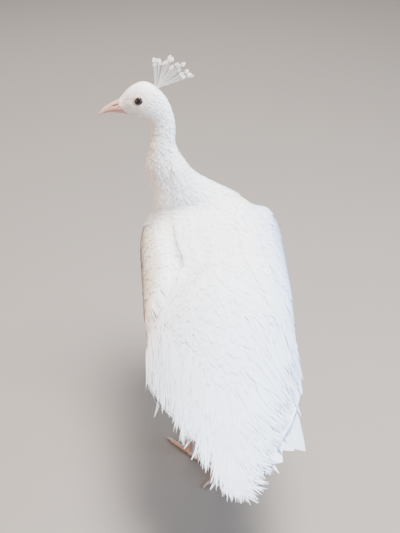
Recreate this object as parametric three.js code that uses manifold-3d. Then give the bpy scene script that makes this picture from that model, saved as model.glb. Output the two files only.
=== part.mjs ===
// A life-size white peafowl, a young cock with a short train, standing with its head turned to its left.
// Millimetres, +Z up. The bird faces -Y, so +X is its left side and +Y lies behind it.
import * as THREE from "three";
import { mergeVertices } from "three/addons/utils/BufferGeometryUtils.js";
import Module from "manifold-3d";

const wasm = await Module();
wasm.setup();

// ---- Driving dimensions -------------------------------------------------------------------
const GAP = 0.35; // clearance between touching pieces
const AROUND = 24; // facets round the trunk, neck and head
const HEAD_PLANE_Y = -44; // the turned head's own mid plane
const EYE_RADIUS = 7.6;
const EYE_AT = { forward: 113, up: 640, aside: 12 }; // centre: x, z, and distance from the head plane
const ORBIT_RADIUS = 28; // the shallow dish round each eye
const ORBIT_FLOOR = 16.8; // how far the dish's floor is from the head plane
const BILL_TIP = [176, 612.5];
const CREST_BASE = [85, 656];
const CREST_REACH = 52;
const CREST_SHAFTS = 9;
const CREST_LEAN = [84, 162]; // degrees from straight ahead of the first shaft and the last
const SHIN_RADIUS = 5.2;
const TOE_RADIUS = 4.6;
const TOE_START = 4; // how far from the foot's centre a toe's length is counted
const CLAW_REACH = 13;
const FLESH_FILL = 0.84; // powers under one fill out the ellipses of the trunk and of the wings
const WING_FILL = 0.82;
const RIGHT_WING_SLACK = 4; // the right wing hangs this much further out than the left
const DROOP_POWER = 2.2; // how sharply the train falls away towards its sides

// The body is one loft from the rump, over the trunk and up the neck, to the base of the bill.
// Each station: the point on the back or nape, the point on the belly or throat, the half width,
// and how many degrees the body has turned to the bird's left there.
const BODY_STATIONS = [
  { back: [0, 334, 309], belly: [0, 334, 296], half: 26, turn: 0 },
  { back: [0, 295, 323], belly: [0, 293, 286], half: 50, turn: 0 },
  { back: [0, 245, 344], belly: [0, 240, 270], half: 71, turn: 0 },
  { back: [0, 185, 372], belly: [0, 178, 254], half: 86, turn: 0 },
  { back: [0, 125, 399], belly: [0, 115, 245], half: 94, turn: 0 },
  { back: [0, 65, 421], belly: [0, 55, 242], half: 97, turn: 0 },
  { back: [0, 20, 430], belly: [0, 2, 249], half: 97, turn: 0 },
  { back: [0, -5, 433], belly: [0, -46, 268], half: 95, turn: 0 },
  { back: [0, -19, 440], belly: [1, -88, 303], half: 97, turn: 2 },
  { back: [1, -28, 450], belly: [10, -110, 350], half: 93, turn: 6 },
  { back: [7, -33, 460], belly: [33, -112, 396], half: 80, turn: 15 },
  { back: [20, -34, 475], belly: [63, -103, 437], half: 59, turn: 29 },
  { back: [32.5, -33, 497.5], belly: [88, -86, 474], half: 40, turn: 43 },
  { back: [43.5, -33, 523.5], belly: [103, -68, 511], half: 30, turn: 58 },
  { back: [56.5, -38, 556], belly: [99, -51, 551], half: 20.4, turn: 74 },
  { back: [56.5, -43, 584], belly: [95, -45, 578], half: 16.8, turn: 87 },
  { back: [59.5, -44, 608], belly: [97, -44, 593.5], half: 15.6, turn: 90 },
  { back: [68.8, -44, 634], belly: [102, -44, 600.5], half: 16.6, turn: 90 },
  { back: [86, -44, 656], belly: [106.5, -44, 603.5], half: 18.4, turn: 90 },
  { back: [106, -44, 665], belly: [113, -44, 606.5], half: 18.8, turn: 90 },
  { back: [126, -44, 656.5], belly: [121.5, -44, 609.8], half: 16, turn: 90 },
  { back: [139, -44, 643], belly: [131.5, -44, 613], half: 10.8, turn: 90 },
  { back: [145.5, -44, 636.5], belly: [140, -44, 618], half: 7.4, turn: 90 },
];
const LAST_STATION = BODY_STATIONS.length - 1;
const SQUARED_STATIONS = [8, 11]; // the trunk's squarer section gives way to an ellipse between these
const TRUNK_END = 9.5; // station numbers where the body is parted
const NECK_MIDDLE = 12.5;
const HEAD_START = 16;

// The left wing, folded over the flank: a shell whose outer face follows an ellipse round the body.
// Each station: y, axis height, reach to the side and upwards, lower and upper edge in degrees, thickness.
const WING_STATIONS = [
  { y: -99, axis: 358, wide: 105, high: 70, from: -24, to: 32, thick: 12 },
  { y: -84, axis: 356, wide: 118, high: 86, from: -38, to: 46, thick: 30 },
  { y: -42, axis: 350, wide: 122.5, high: 91, from: -46, to: 54, thick: 36 },
  { y: 20, axis: 342, wide: 121, high: 90, from: -44, to: 58, thick: 36 },
  { y: 90, axis: 331, wide: 119, high: 85, from: -38, to: 56, thick: 36 },
  { y: 150, axis: 322, wide: 117, high: 66, from: -32, to: 48, thick: 32 },
  { y: 205, axis: 307, wide: 107, high: 44, from: -30, to: 36, thick: 24 },
  { y: 255, axis: 294, wide: 93, high: 30, from: -30, to: 26, thick: 16 },
  { y: 300, axis: 285, wide: 79, high: 26, from: -26, to: 22, thick: 11 },
  { y: 328, axis: 281, wide: 67, high: 22, from: -14, to: 12, thick: 7 },
];

// The back's profile and the width of the feathered shell that hangs over rump and wings.
const SHELL_PROFILE = [
  { y: 60, z: 430, half: 40, droop: 8 },
  { y: 90, z: 425, half: 56, droop: 16 },
  { y: 120, z: 415, half: 78, droop: 30 },
  { y: 150, z: 405, half: 102, droop: 55 },
  { y: 180, z: 394, half: 117, droop: 72 },
  { y: 230, z: 372, half: 120, droop: 76 },
  { y: 280, z: 350, half: 115, droop: 68 },
  { y: 330, z: 329, half: 106, droop: 52 },
  { y: 380, z: 308, half: 96, droop: 34 },
  { y: 430, z: 288, half: 80, droop: 20 },
  { y: 480, z: 270, half: 62, droop: 12 },
];

// Where the train's feathers end, from the right edge (-1) over the middle (0) to the left edge (1).
const TRAIN_END = [
  { across: -1, y: 262 },
  { across: -0.85, y: 350 },
  { across: -0.6, y: 418 },
  { across: -0.3, y: 452 },
  { across: 0, y: 460 },
  { across: 0.25, y: 444 },
  { across: 0.5, y: 398 },
  { across: 0.75, y: 338 },
  { across: 1, y: 238 },
];
const TAIL_END = [
  { across: -1, y: 360 },
  { across: -0.75, y: 388 },
  { across: -0.4, y: 424 },
  { across: 0, y: 424 },
  { across: 0.4, y: 376 },
  { across: 0.7, y: 328 },
  { across: 1, y: 302 },
];

// Legs. Each joint: x, y, z.
const LEFT_LEG = {
  hip: [50, 66, 290],
  knee: [51, 84, 232],
  ankle: [45, 124, 134],
  foot: [42, 84, 12],
  heading: 6, // degrees that the foot turns to the bird's left
};
const RIGHT_LEG = {
  hip: [-48, 84, 290],
  knee: [-44, 112, 232],
  ankle: [-20, 178, 133],
  foot: [2, 142, 12],
  heading: -14,
};
// Toes: angle from straight ahead towards the outer side, length, and radius at the root.
const TOES = [
  { name: "inner", angle: -34, length: 46, root: 1 },
  { name: "middle", angle: 0, length: 63, root: 1.08 },
  { name: "outer", angle: 38, length: 49, root: 0.98 },
  { name: "hind", angle: -150, length: 22, root: 0.82 },
];

// ---- Shape tools --------------------------------------------------------------------------
const X_AXIS = new THREE.Vector3(1, 0, 0);
const Z_AXIS = new THREE.Vector3(0, 0, 1);
const vector = ([x, y, z]) => new THREE.Vector3(x, y, z);

// A smooth curve through one value of each row of a table, read by row number or by the value of a key.
function smoothColumn(rows, key) {
  const curve = new THREE.CatmullRomCurve3(
    rows.map((row) => new THREE.Vector3(row[key], 0, 0)), false, "catmullrom", 0.5);
  return (at) => curve.getPoint(THREE.MathUtils.clamp(at / (rows.length - 1), 0, 1)).x;
}

function rowNumber(rows, key, value) {
  const after = rows.findIndex((row) => row[key] >= value);
  if (after < 0) return rows.length - 1;
  if (after === 0) return 0;
  const [low, high] = [rows[after - 1][key], rows[after][key]];
  return after - 1 + (value - low) / (high - low);
}

// Closes a stack of rings into a solid: sides, and a fan over each end.
function stackSolid(rings) {
  const count = rings[0].length;
  const points = rings.flat();
  const middle = (ring) => ring.reduce((sum, p) => sum.add(p), new THREE.Vector3()).divideScalar(count);
  points.push(middle(rings[0]), middle(rings[rings.length - 1]));
  const faces = [];
  for (let i = 0; i + 1 < rings.length; i++) {
    for (let j = 0; j < count; j++) {
      const [a, b] = [i * count + j, i * count + ((j + 1) % count)];
      faces.push(a, b, b + count, a, b + count, a + count);
    }
  }
  const last = (rings.length - 1) * count;
  for (let j = 0; j < count; j++) {
    const next = (j + 1) % count;
    faces.push(points.length - 2, next, j);
    faces.push(points.length - 1, last + j, last + next);
  }
  return solidOf(points, faces);
}

function solidOf(points, faces) {
  const positions = new Float32Array(points.flatMap((p) => [p.x, p.y, p.z]));
  const made = new wasm.Manifold(
    new wasm.Mesh({ numProp: 3, vertProperties: positions, triVerts: new Uint32Array(faces) }));
  if (made.volume() > 0) return made;
  const turned = faces.map((_, i) => faces[i - (i % 3) + (2 - (i % 3))]);
  return new wasm.Manifold(
    new wasm.Mesh({ numProp: 3, vertProperties: positions, triVerts: new Uint32Array(turned) }));
}

function solidFromGeometry(geometry) {
  geometry.deleteAttribute("normal");
  geometry.deleteAttribute("uv");
  const merged = mergeVertices(geometry, 1e-3);
  return new wasm.Manifold(
    new wasm.Mesh({
      numProp: 3,
      vertProperties: new Float32Array(merged.attributes.position.array),
      triVerts: new Uint32Array(merged.index.array),
    }));
}

function ball(centre, radius, wide, high) {
  const geometry = new THREE.SphereGeometry(radius, wide, high);
  geometry.rotateX(Math.PI / 2);
  return solidFromGeometry(geometry.translate(...centre));
}

// A round tube through points with a radius at each, closed at both ends. Its sections lie level with
// one axis: a flattened tube is wide along it.
function taperedTube(points, radii, { sides, steps, flatten = 1, level = X_AXIS }) {
  const curve = new THREE.CatmullRomCurve3(points.map(vector), false, "catmullrom", 0.5);
  const radius = smoothColumn(radii.map((r) => ({ r })), "r");
  const rings = [];
  const count = (points.length - 1) * steps;
  for (let i = 0; i <= count; i++) {
    const at = i / count;
    const along = curve.getTangent(at);
    const side = level.clone().addScaledVector(along, -level.dot(along)).normalize();
    const up = new THREE.Vector3().crossVectors(side, along).normalize();
    const ring = [];
    for (let j = 0; j < sides; j++) {
      const turn = (2 * Math.PI * (j + 0.5)) / sides;
      ring.push(curve.getPoint(at)
        .addScaledVector(side, radius(at * (points.length - 1)) * Math.cos(turn))
        .addScaledVector(up, radius(at * (points.length - 1)) * flatten * Math.sin(turn)));
    }
    rings.push(ring);
  }
  return stackSolid(rings);
}

const full = (value, power) => Math.sign(value) * Math.abs(value) ** power;

const join = (solids) => solids.reduce((whole, part) => whole.add(part));
const cut = (solid, ...tools) => tools.reduce((left, tool) => left.subtract(tool), solid);

// Only the largest body of a cut piece is kept, so that no chip is left beside it.
function largest(solid) {
  return solid.decompose().reduce((best, part) => (part.volume() > best.volume() ? part : best));
}

const mirrored = (solid) => solid.mirror([1, 0, 0]);

// ---- Trunk, neck and head -----------------------------------------------------------------
const bodyBack = new THREE.CatmullRomCurve3(
  BODY_STATIONS.map((s) => vector(s.back)), false, "catmullrom", 0.5);
const bodyBelly = new THREE.CatmullRomCurve3(
  BODY_STATIONS.map((s) => vector(s.belly)), false, "catmullrom", 0.5);
const [bodyHalf, bodyTurn] = ["half", "turn"].map((key) => smoothColumn(BODY_STATIONS, key));

const bodyMiddle = (station) => {
  const at = station / LAST_STATION;
  return bodyBack.getPoint(at).add(bodyBelly.getPoint(at)).multiplyScalar(0.5);
};

function bodySide(station, back) {
  const turn = THREE.MathUtils.degToRad(bodyTurn(station));
  const side = new THREE.Vector3(Math.cos(turn), Math.sin(turn), 0);
  return side.addScaledVector(back, -side.dot(back)).normalize();
}

function bodyRing(station, extra) {
  const centre = bodyMiddle(station);
  const back = bodyBack.getPoint(station / LAST_STATION).sub(centre);
  const reach = back.length();
  back.normalize();
  const side = bodySide(station, back);
  const share = THREE.MathUtils.inverseLerp(...SQUARED_STATIONS, station);
  const power = THREE.MathUtils.lerp(FLESH_FILL, 1, THREE.MathUtils.clamp(share, 0, 1));
  const ring = [];
  for (let j = 0; j < AROUND; j++) {
    const turn = (2 * Math.PI * j) / AROUND;
    ring.push(centre.clone()
      .addScaledVector(side, (bodyHalf(station) + extra) * full(Math.cos(turn), power))
      .addScaledVector(back, (reach + extra) * full(Math.sin(turn), power)));
  }
  return ring;
}

// Rings stand at whole stations along the trunk and at half stations up the neck and head.
function bodySolid(extra) {
  const stations = [];
  for (let station = 0; station <= LAST_STATION; station += station < 6 ? 1 : 0.5) stations.push(station);
  return stackSolid(stations.map((station) => bodyRing(station, extra)));
}

// A flat slab GAP thick in the plane of a ring parts two lengths of the body.
function partingSlab(station) {
  const centre = bodyMiddle(station);
  const back = bodyBack.getPoint(station / LAST_STATION).sub(centre).normalize();
  const side = bodySide(station, back);
  const ahead = new THREE.Vector3().crossVectors(side, back);
  const slab = new THREE.BoxGeometry(400, 400, GAP);
  slab.applyMatrix4(new THREE.Matrix4().makeBasis(side, back, ahead).setPosition(centre));
  return solidFromGeometry(slab);
}

const eyeCentre = (sign) => [EYE_AT.forward, HEAD_PLANE_Y + sign * EYE_AT.aside, EYE_AT.up];
const eye = (sign, extra = 0) => ball(eyeCentre(sign), EYE_RADIUS + extra, 12, 8);
const orbit = (sign) => ball(
  [EYE_AT.forward, HEAD_PLANE_Y + sign * (ORBIT_FLOOR + ORBIT_RADIUS), EYE_AT.up], ORBIT_RADIUS, 24, 18);

const body = bodySolid(0);
const bodyRoom = bodySolid(1.6 * GAP);
const [trunk, neckLower, neckUpper, headWhole] = body
  .subtract(join([TRUNK_END, NECK_MIDDLE, HEAD_START].map(partingSlab)))
  .decompose()
  .sort((a, b) => b.volume() - a.volume())
  .slice(0, 4)
  .sort((a, b) => a.boundingBox().min[2] - b.boundingBox().min[2]);
const head = largest(cut(headWhole, orbit(1), orbit(-1), eye(1, GAP), eye(-1, GAP)));

// ---- Bill: two mandibles that meet along the gape -----------------------------------------
function mandible(stations) {
  return stackSolid(stations.map(({ x, top, bottom, half }) => {
    const ring = [];
    const sides = 10;
    for (let j = 0; j < sides; j++) {
      const turn = (2 * Math.PI * (j + 0.5)) / sides;
      const middle = (top + bottom) / 2;
      const tall = (top - bottom) / 2;
      ring.push(new THREE.Vector3(x, HEAD_PLANE_Y + half * Math.cos(turn), middle + tall * Math.sin(turn)));
    }
    return ring;
  }));
}

// The mandibles meet along a line that is nearly level and bends down towards the tip.
const gape = (x) => 622.6 - 10 * Math.max((x - 150) / 26, 0) ** 1.7;
const billUpper = largest(cut(mandible([
  { x: 137, top: 640, bottom: gape(137), half: 7.4 },
  { x: 146, top: 636.6, bottom: gape(146), half: 6.6 },
  { x: 156, top: 631.8, bottom: gape(156), half: 5.4 },
  { x: 165, top: 625.4, bottom: gape(165) - 0.4, half: 3.9 },
  { x: 172, top: 618.2, bottom: gape(172) - 0.8, half: 2.3 },
  { x: BILL_TIP[0], top: BILL_TIP[1] + 0.7, bottom: BILL_TIP[1] - 0.8, half: 0.7 },
]), bodyRoom));
const billLower = largest(cut(mandible([
  { x: 134, top: gape(134) - 0.5, bottom: 615.6, half: 7 },
  { x: 144, top: gape(144) - 0.5, bottom: 616.8, half: 5.9 },
  { x: 155, top: gape(155) - 0.5, bottom: 617.8, half: 4.3 },
  { x: 163, top: gape(163) - 0.7, bottom: 616.6, half: 2.8 },
  { x: 168.5, top: gape(168.5) - 1, bottom: 614.6, half: 1.2 },
]), bodyRoom));

// ---- Crest: a fan of bare shafts with paddle tips on one root pad ---------------------------
function crestShaft(index) {
  const share = index / (CREST_SHAFTS - 1);
  const lean = THREE.MathUtils.degToRad(THREE.MathUtils.lerp(...CREST_LEAN, share));
  const lateral = (index % 2 ? 1 : -1) * (2.5 + 5 * Math.sin(Math.PI * share));
  const reach = CREST_REACH * (0.93 + 0.07 * Math.cos(2.4 * index));
  const way = [Math.cos(lean), Math.sin(lean)];
  const along = (distance, bow) => [
    CREST_BASE[0] + way[0] * distance - way[1] * bow,
    HEAD_PLANE_Y + (lateral * distance) / reach,
    CREST_BASE[1] + way[1] * distance + way[0] * bow,
  ];
  const shaft = taperedTube([along(-6, 0), along(reach * 0.84, 1)], [0.6, 0.55], { sides: 4, steps: 1 });
  const paddle = taperedTube(
    [along(reach * 0.8, 1), along(reach * 0.91, 0.6), along(reach, 0)], [0.8, 5, 2.6],
    { sides: 6, steps: 1, flatten: 0.3 });
  return shaft.add(paddle);
}

const crestPad = ball([0, 0, 0], 1, 10, 6).scale([7.5, 4, 3.2])
  .translate([CREST_BASE[0] + 1, HEAD_PLANE_Y, CREST_BASE[1] + 1]);
const crestShafts = Array.from({ length: CREST_SHAFTS }, (_, index) => crestShaft(index));
const crest = largest(cut(join([crestPad, ...crestShafts]), bodyRoom));

// ---- Wings ----------------------------------------------------------------------------------
// The inner face is thinnest at the two long edges. A margin of extra on every side makes room for a cut.
function wingShape(extra) {
  const facets = 7;
  const column = (key) => smoothColumn(WING_STATIONS, key);
  const [y, axis, wide, high, thick] = ["y", "axis", "wide", "high", "thick"].map(column);
  const [from, to] = ["from", "to"].map(column);
  const last = WING_STATIONS.length - 1;
  const rings = [];
  for (const row of [0, 0.5, 1, 1.5, 2, 3, 4, 5, 6, 7, 8, last]) {
    const at = y(row) + (row === 0 ? -extra : row === last ? extra : 0);
    const onFace = (share, depth) => {
      const margin = (extra / wide(row)) * Math.sign(share - 0.5);
      const turn = THREE.MathUtils.degToRad(from(row) + (to(row) - from(row)) * share) + margin;
      return new THREE.Vector3(
        (wide(row) - depth) * Math.cos(turn) ** WING_FILL,
        at,
        axis(row) + (high(row) - depth) * full(Math.sin(turn), WING_FILL));
    };
    const outer = [];
    const inner = [];
    for (let k = 0; k <= facets; k++) {
      outer.push(onFace(k / facets, -extra));
      const bulge = 0.15 + 0.85 * Math.sqrt(Math.sin((Math.PI * (k + 0.5)) / (facets + 1)));
      inner.unshift(onFace(k / facets, thick(row) * bulge + extra));
    }
    rings.push([...outer, ...inner]);
  }
  return stackSolid(rings);
}

const wingLeft = largest(cut(wingShape(0), bodyRoom));
const rightWing = (extra) => mirrored(wingShape(extra)).translate([-RIGHT_WING_SLACK, 0, 0]);
const wingRight = largest(cut(rightWing(0), bodyRoom));
const wingRoom = wingShape(GAP).add(rightWing(GAP));

// ---- Train and tail: shells over the rump, ending in feather tips ---------------------------
const [shellTop, shellHalf, shellDroop] = ["z", "half", "droop"].map((key) => {
  const column = smoothColumn(SHELL_PROFILE, key);
  return (y) => column(rowNumber(SHELL_PROFILE, "y", y));
});

// The hind edge is cut into blunt teeth, one for each broad feather.
function feathered(end, across, teeth, depth) {
  const column = smoothColumn(end, "y");
  const phase = (((across + 1) / 2) * teeth) % 1;
  return column(rowNumber(end, "across", across)) - depth * Math.abs(2 * phase - 1);
}

// A sheet with a top and an underside: columns run across it and rows run back to the feather tips.
function shell({ front, end, teeth, depth, columns, rows, below, thick, narrow, extra = 0 }) {
  const grids = [[], []];
  for (let i = 0; i <= rows; i++) {
    for (let j = 0; j <= columns; j++) {
      const across = (2 * j) / columns - 1;
      const first = front(across);
      const y = first + ((feathered(end, across, teeth, depth) - first) * i) / rows;
      const reach = across * narrow(y, across);
      const x = reach * (shellHalf(y) + extra);
      const z = shellTop(y) - below(y) - shellDroop(y) * Math.abs(reach) ** DROOP_POWER;
      grids[0].push(new THREE.Vector3(x, y + (i === rows ? extra : 0), z + extra));
      grids[1].push(new THREE.Vector3(x, y + (i === rows ? extra : 0), z - thick(y) - extra));
    }
  }
  const points = grids.flat();
  const wide = columns + 1;
  const lower = grids[0].length;
  const faces = [];
  for (let i = 0; i < rows; i++) {
    for (let j = 0; j < columns; j++) {
      const a = i * wide + j;
      const b = lower + a;
      faces.push(a, a + 1, a + wide + 1, a, a + wide + 1, a + wide);
      faces.push(b, b + wide + 1, b + 1, b, b + wide, b + wide + 1);
    }
  }
  const rim = [];
  for (let j = 0; j < columns; j++) rim.push(j);
  for (let i = 0; i < rows; i++) rim.push(i * wide + columns);
  for (let j = columns; j > 0; j--) rim.push(rows * wide + j);
  for (let i = rows; i > 0; i--) rim.push(i * wide);
  rim.forEach((a, k) => {
    const b = rim[(k + 1) % rim.length];
    faces.push(a, a + lower, b + lower, a, b + lower, b);
  });
  return solidOf(points, faces);
}

// A straight change of value from one y to another, held beyond both.
const graded = (y, [fromY, toY], [from, to]) => {
  const share = THREE.MathUtils.clamp(THREE.MathUtils.inverseLerp(fromY, toY, y), 0, 1);
  return THREE.MathUtils.lerp(from, to, share);
};

const trainSpec = {
  front: (across) => 96 + 78 * Math.abs(across) ** 1.6,
  end: TRAIN_END,
  teeth: 11,
  depth: 14,
  columns: 22,
  rows: 8,
  narrow: () => 1,
  below: () => 0,
  thick: (y) => graded(y, [96, 400], [24, 6]),
};
const train = largest(cut(shell(trainSpec), bodyRoom, wingRoom));
// The tail shows past the train on the right, and is covered by it on the left.
const tailSpec = {
  front: () => 292,
  end: TAIL_END,
  teeth: 6,
  depth: 8,
  columns: 12,
  rows: 3,
  narrow: (y, across) => (across > 0 ? 0.7 : graded(y, [292, 335], [0.66, 1.01])),
  below: (y) => graded(y, [292, 450], [24, 13]),
  thick: () => 5,
};
const tail = largest(cut(shell(tailSpec), bodyRoom, wingRoom, shell({ ...trainSpec, extra: GAP })));

// ---- Legs and feet --------------------------------------------------------------------------
const between = (a, b, share) => a.map((value, k) => THREE.MathUtils.lerp(value, b[k], share));

// The feathered leg from the hip to just above the ankle.
function thighShape({ hip, knee, ankle }, extra = 0) {
  return taperedTube(
    [hip, knee, between(knee, ankle, 0.5), between(knee, ankle, 0.82), between(knee, ankle, 0.96)],
    [33, 30, 19, 11.5, 7.6].map((r) => r + extra),
    { sides: 12, steps: 1 });
}

// The bare leg from the ankle to the foot.
function shinShape({ knee, ankle, foot }, extra = 0) {
  return taperedTube(
    [between(ankle, knee, 0.08), ankle, between(ankle, foot, 0.12), between(ankle, foot, 0.88), foot],
    [6.4, 8, SHIN_RADIUS + 0.6, SHIN_RADIUS, SHIN_RADIUS + 1.4].map((r) => r + extra),
    { sides: 8, steps: 1 });
}

// A point above the line of a toe, at a share of its length.
function toePoint(leg, toe, side, share, height) {
  const turn = THREE.MathUtils.degToRad(leg.heading + side * toe.angle);
  const distance = TOE_START + toe.length * share;
  return [leg.foot[0] + distance * Math.sin(turn), leg.foot[1] - distance * Math.cos(turn), height];
}

// What lies below a height is cut off, which leaves the flats that the bird stands on.
function belowFloor(height) {
  const [wide, deep] = [1000, 100];
  const block = new THREE.BoxGeometry(wide, wide, deep);
  return solidFromGeometry(block.translate(0, 0, height - deep / 2));
}

// Each toe runs down from the foot's hub and ends where its claw starts.
function footShape(leg, side, extra = 0) {
  const [x, y] = leg.foot;
  const toes = TOES.map((toe) => {
    const thick = TOE_RADIUS * toe.root + extra;
    const along = (share, height) => toePoint(leg, toe, side, share, height);
    return taperedTube(
      [[x, y, 9], along(0.3, 4.4), along(0.62, 3.5), along(0.9, 2.8)],
      [thick * 1.15, thick, thick * 0.88, thick * 0.72], { sides: 7, steps: 1, level: Z_AXIS });
  });
  const hub = ball([0, 0, 0], 1, 10, 6)
    .scale([8.4 + extra, 9.4 + extra, 8 + extra])
    .translate([x, y, 6.6]);
  return largest(join([hub, ...toes]).subtract(belowFloor(0)));
}

// A claw arches out of its toe and rests its tip on the floor.
function clawShape(leg, toe, side) {
  const reach = CLAW_REACH / toe.length;
  const along = (share, height) => toePoint(leg, toe, side, share, height);
  const shape = taperedTube(
    [along(0.86, 4.4), along(0.9 + reach * 0.5, 4), along(0.9 + reach, 0.7)],
    [2.6, 2, 0.9], { sides: 6, steps: 2, level: Z_AXIS });
  return largest(cut(shape, footShape(leg, side, GAP), belowFloor(0)));
}

// ---- Materials and assembly -----------------------------------------------------------------
const finish = (color, roughness) => new THREE.MeshStandardMaterial({ color, roughness, metalness: 0 });
const PLUMAGE = finish(0xf4f3f0, 0.85);
const BILL_HORN = finish(0xe3b9a4, 0.45);
const SKIN_PINK = finish(0xd9a78f, 0.6);
const CLAW_HORN = finish(0xd8b9a0, 0.4);
const EYE_DARK = finish(0x17110f, 0.08);

function meshOf(name, solid, material) {
  const { numProp, vertProperties, triVerts } = solid.getMesh();
  const positions = new Float32Array((vertProperties.length / numProp) * 3);
  for (let i = 0; i < positions.length / 3; i++) {
    positions.set(vertProperties.subarray(i * numProp, i * numProp + 3), i * 3);
  }
  const geometry = new THREE.BufferGeometry();
  geometry.setAttribute("position", new THREE.BufferAttribute(positions, 3));
  geometry.setIndex(new THREE.BufferAttribute(triVerts, 1));
  geometry.computeVertexNormals();
  const mesh = new THREE.Mesh(geometry, material);
  mesh.name = name;
  return mesh;
}

const peafowl = new THREE.Group();
peafowl.add(
  meshOf("trunk", trunk, PLUMAGE),
  meshOf("neck_lower", neckLower, PLUMAGE),
  meshOf("neck_upper", neckUpper, PLUMAGE),
  meshOf("head", head, PLUMAGE),
  meshOf("crest", crest, PLUMAGE),
  meshOf("bill_upper", billUpper, BILL_HORN),
  meshOf("bill_lower", billLower, BILL_HORN),
  meshOf("eye_left", eye(1), EYE_DARK),
  meshOf("eye_right", eye(-1), EYE_DARK),
  meshOf("wing_left", wingLeft, PLUMAGE),
  meshOf("wing_right", wingRight, PLUMAGE),
  meshOf("train", train, PLUMAGE),
  meshOf("tail", tail, PLUMAGE));

for (const [side, leg, sign] of [["left", LEFT_LEG, 1], ["right", RIGHT_LEG, -1]]) {
  const thigh = largest(cut(thighShape(leg), bodyRoom, wingRoom));
  const foot = footShape(leg, sign);
  const shin = largest(cut(shinShape(leg), thighShape(leg, GAP), footShape(leg, sign, GAP)));
  peafowl.add(
    meshOf(`thigh_${side}`, thigh, PLUMAGE),
    meshOf(`shin_${side}`, shin, SKIN_PINK),
    meshOf(`foot_${side}`, foot, SKIN_PINK));
  for (const toe of TOES) {
    peafowl.add(meshOf(`claw_${side}_${toe.name}`, clawShape(leg, toe, sign), CLAW_HORN));
  }
}

// The origin is on the floor, under the middle of the bird's bounding box.
const bounds = new THREE.Box3().setFromObject(peafowl);
const centre = bounds.getCenter(new THREE.Vector3());
peafowl.position.set(-centre.x, -centre.y, -bounds.min.z);

export default peafowl;
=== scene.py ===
import math

import bmesh
import bpy
import numpy as np
from mathutils import Matrix, Vector
from mathutils.bvhtree import BVHTree
from mathutils.kdtree import KDTree


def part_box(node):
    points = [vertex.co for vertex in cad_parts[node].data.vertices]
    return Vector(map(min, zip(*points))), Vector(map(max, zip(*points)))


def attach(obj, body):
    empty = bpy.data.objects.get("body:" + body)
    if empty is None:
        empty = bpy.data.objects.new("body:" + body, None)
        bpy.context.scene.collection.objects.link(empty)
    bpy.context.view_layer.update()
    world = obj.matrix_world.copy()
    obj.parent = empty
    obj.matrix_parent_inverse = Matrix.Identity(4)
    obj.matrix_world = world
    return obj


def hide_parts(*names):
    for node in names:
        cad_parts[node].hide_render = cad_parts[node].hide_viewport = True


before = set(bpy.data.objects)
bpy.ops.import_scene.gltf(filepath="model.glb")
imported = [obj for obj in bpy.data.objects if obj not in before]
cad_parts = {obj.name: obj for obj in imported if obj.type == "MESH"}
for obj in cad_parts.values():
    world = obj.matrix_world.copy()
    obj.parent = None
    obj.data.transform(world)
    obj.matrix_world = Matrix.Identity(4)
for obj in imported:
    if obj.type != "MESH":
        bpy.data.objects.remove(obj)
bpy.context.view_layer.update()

scene = bpy.context.scene
mm = 0.001

# The bird is drawn in millimetres: x to its left, y to its rear from the shoulders, z up from the floor.
# headPlane is the turned head's own mid plane.
headPlane = -44.0
eyeSpot = {"forward": 113.0, "up": 640.0, "aside": 12.0, "radius": 7.6}
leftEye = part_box("eye_left")
toFrame = (np.array(leftEye[0] + leftEye[1]) / 2
           - np.array([eyeSpot["forward"], headPlane + eyeSpot["aside"], eyeSpot["up"]]) * mm)


def placed(points):
    # millimetres in the drawing to metres in the frame
    return np.asarray(points, float) * mm + toFrame


def drawn(points):
    # and back
    return (points - toFrame) / mm


def unit(vectors):
    length = np.linalg.norm(vectors, axis=-1, keepdims=True)
    return vectors / np.maximum(length, 1e-12)


def turns(count):
    return 2 * np.pi * np.arange(count) / count


def between(value, pairs):
    # straight lines through pairs of a value and its result
    return np.interp(value, *zip(*pairs))


def smoothStep(low, high, value):
    t = np.clip((np.asarray(value, float) - low) / (high - low), 0, 1)
    return t * t * (3 - 2 * t)


def signedPower(value, power):
    return np.sign(value) * np.abs(value) ** power


def smoothColumn(values):
    # a smooth curve through values that stand at 0, 1, 2 and so on
    v = np.array(values, float)
    p = np.concatenate([[2 * v[0] - v[1]], v, [2 * v[-1] - v[-2]]])

    def at(t):
        t = np.clip(np.asarray(t, float), 0, len(v) - 1 - 1e-9)
        i = np.floor(t).astype(int)
        f = t - i
        if v.ndim > 1:
            f = f[..., None]
        p0, p1, p2, p3 = p[i], p[i + 1], p[i + 2], p[i + 3]
        m1, m2 = (p2 - p0) / 2, (p3 - p1) / 2
        return (p1 * (2 * f**3 - 3 * f**2 + 1) + m1 * (f**3 - 2 * f**2 + f)
                + p2 * (3 * f**2 - 2 * f**3) + m2 * (f**3 - f**2))
    return at


def smoothColumns(rows, *columns):
    return [smoothColumn([row[k] for row in rows]) for k in columns]


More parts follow.
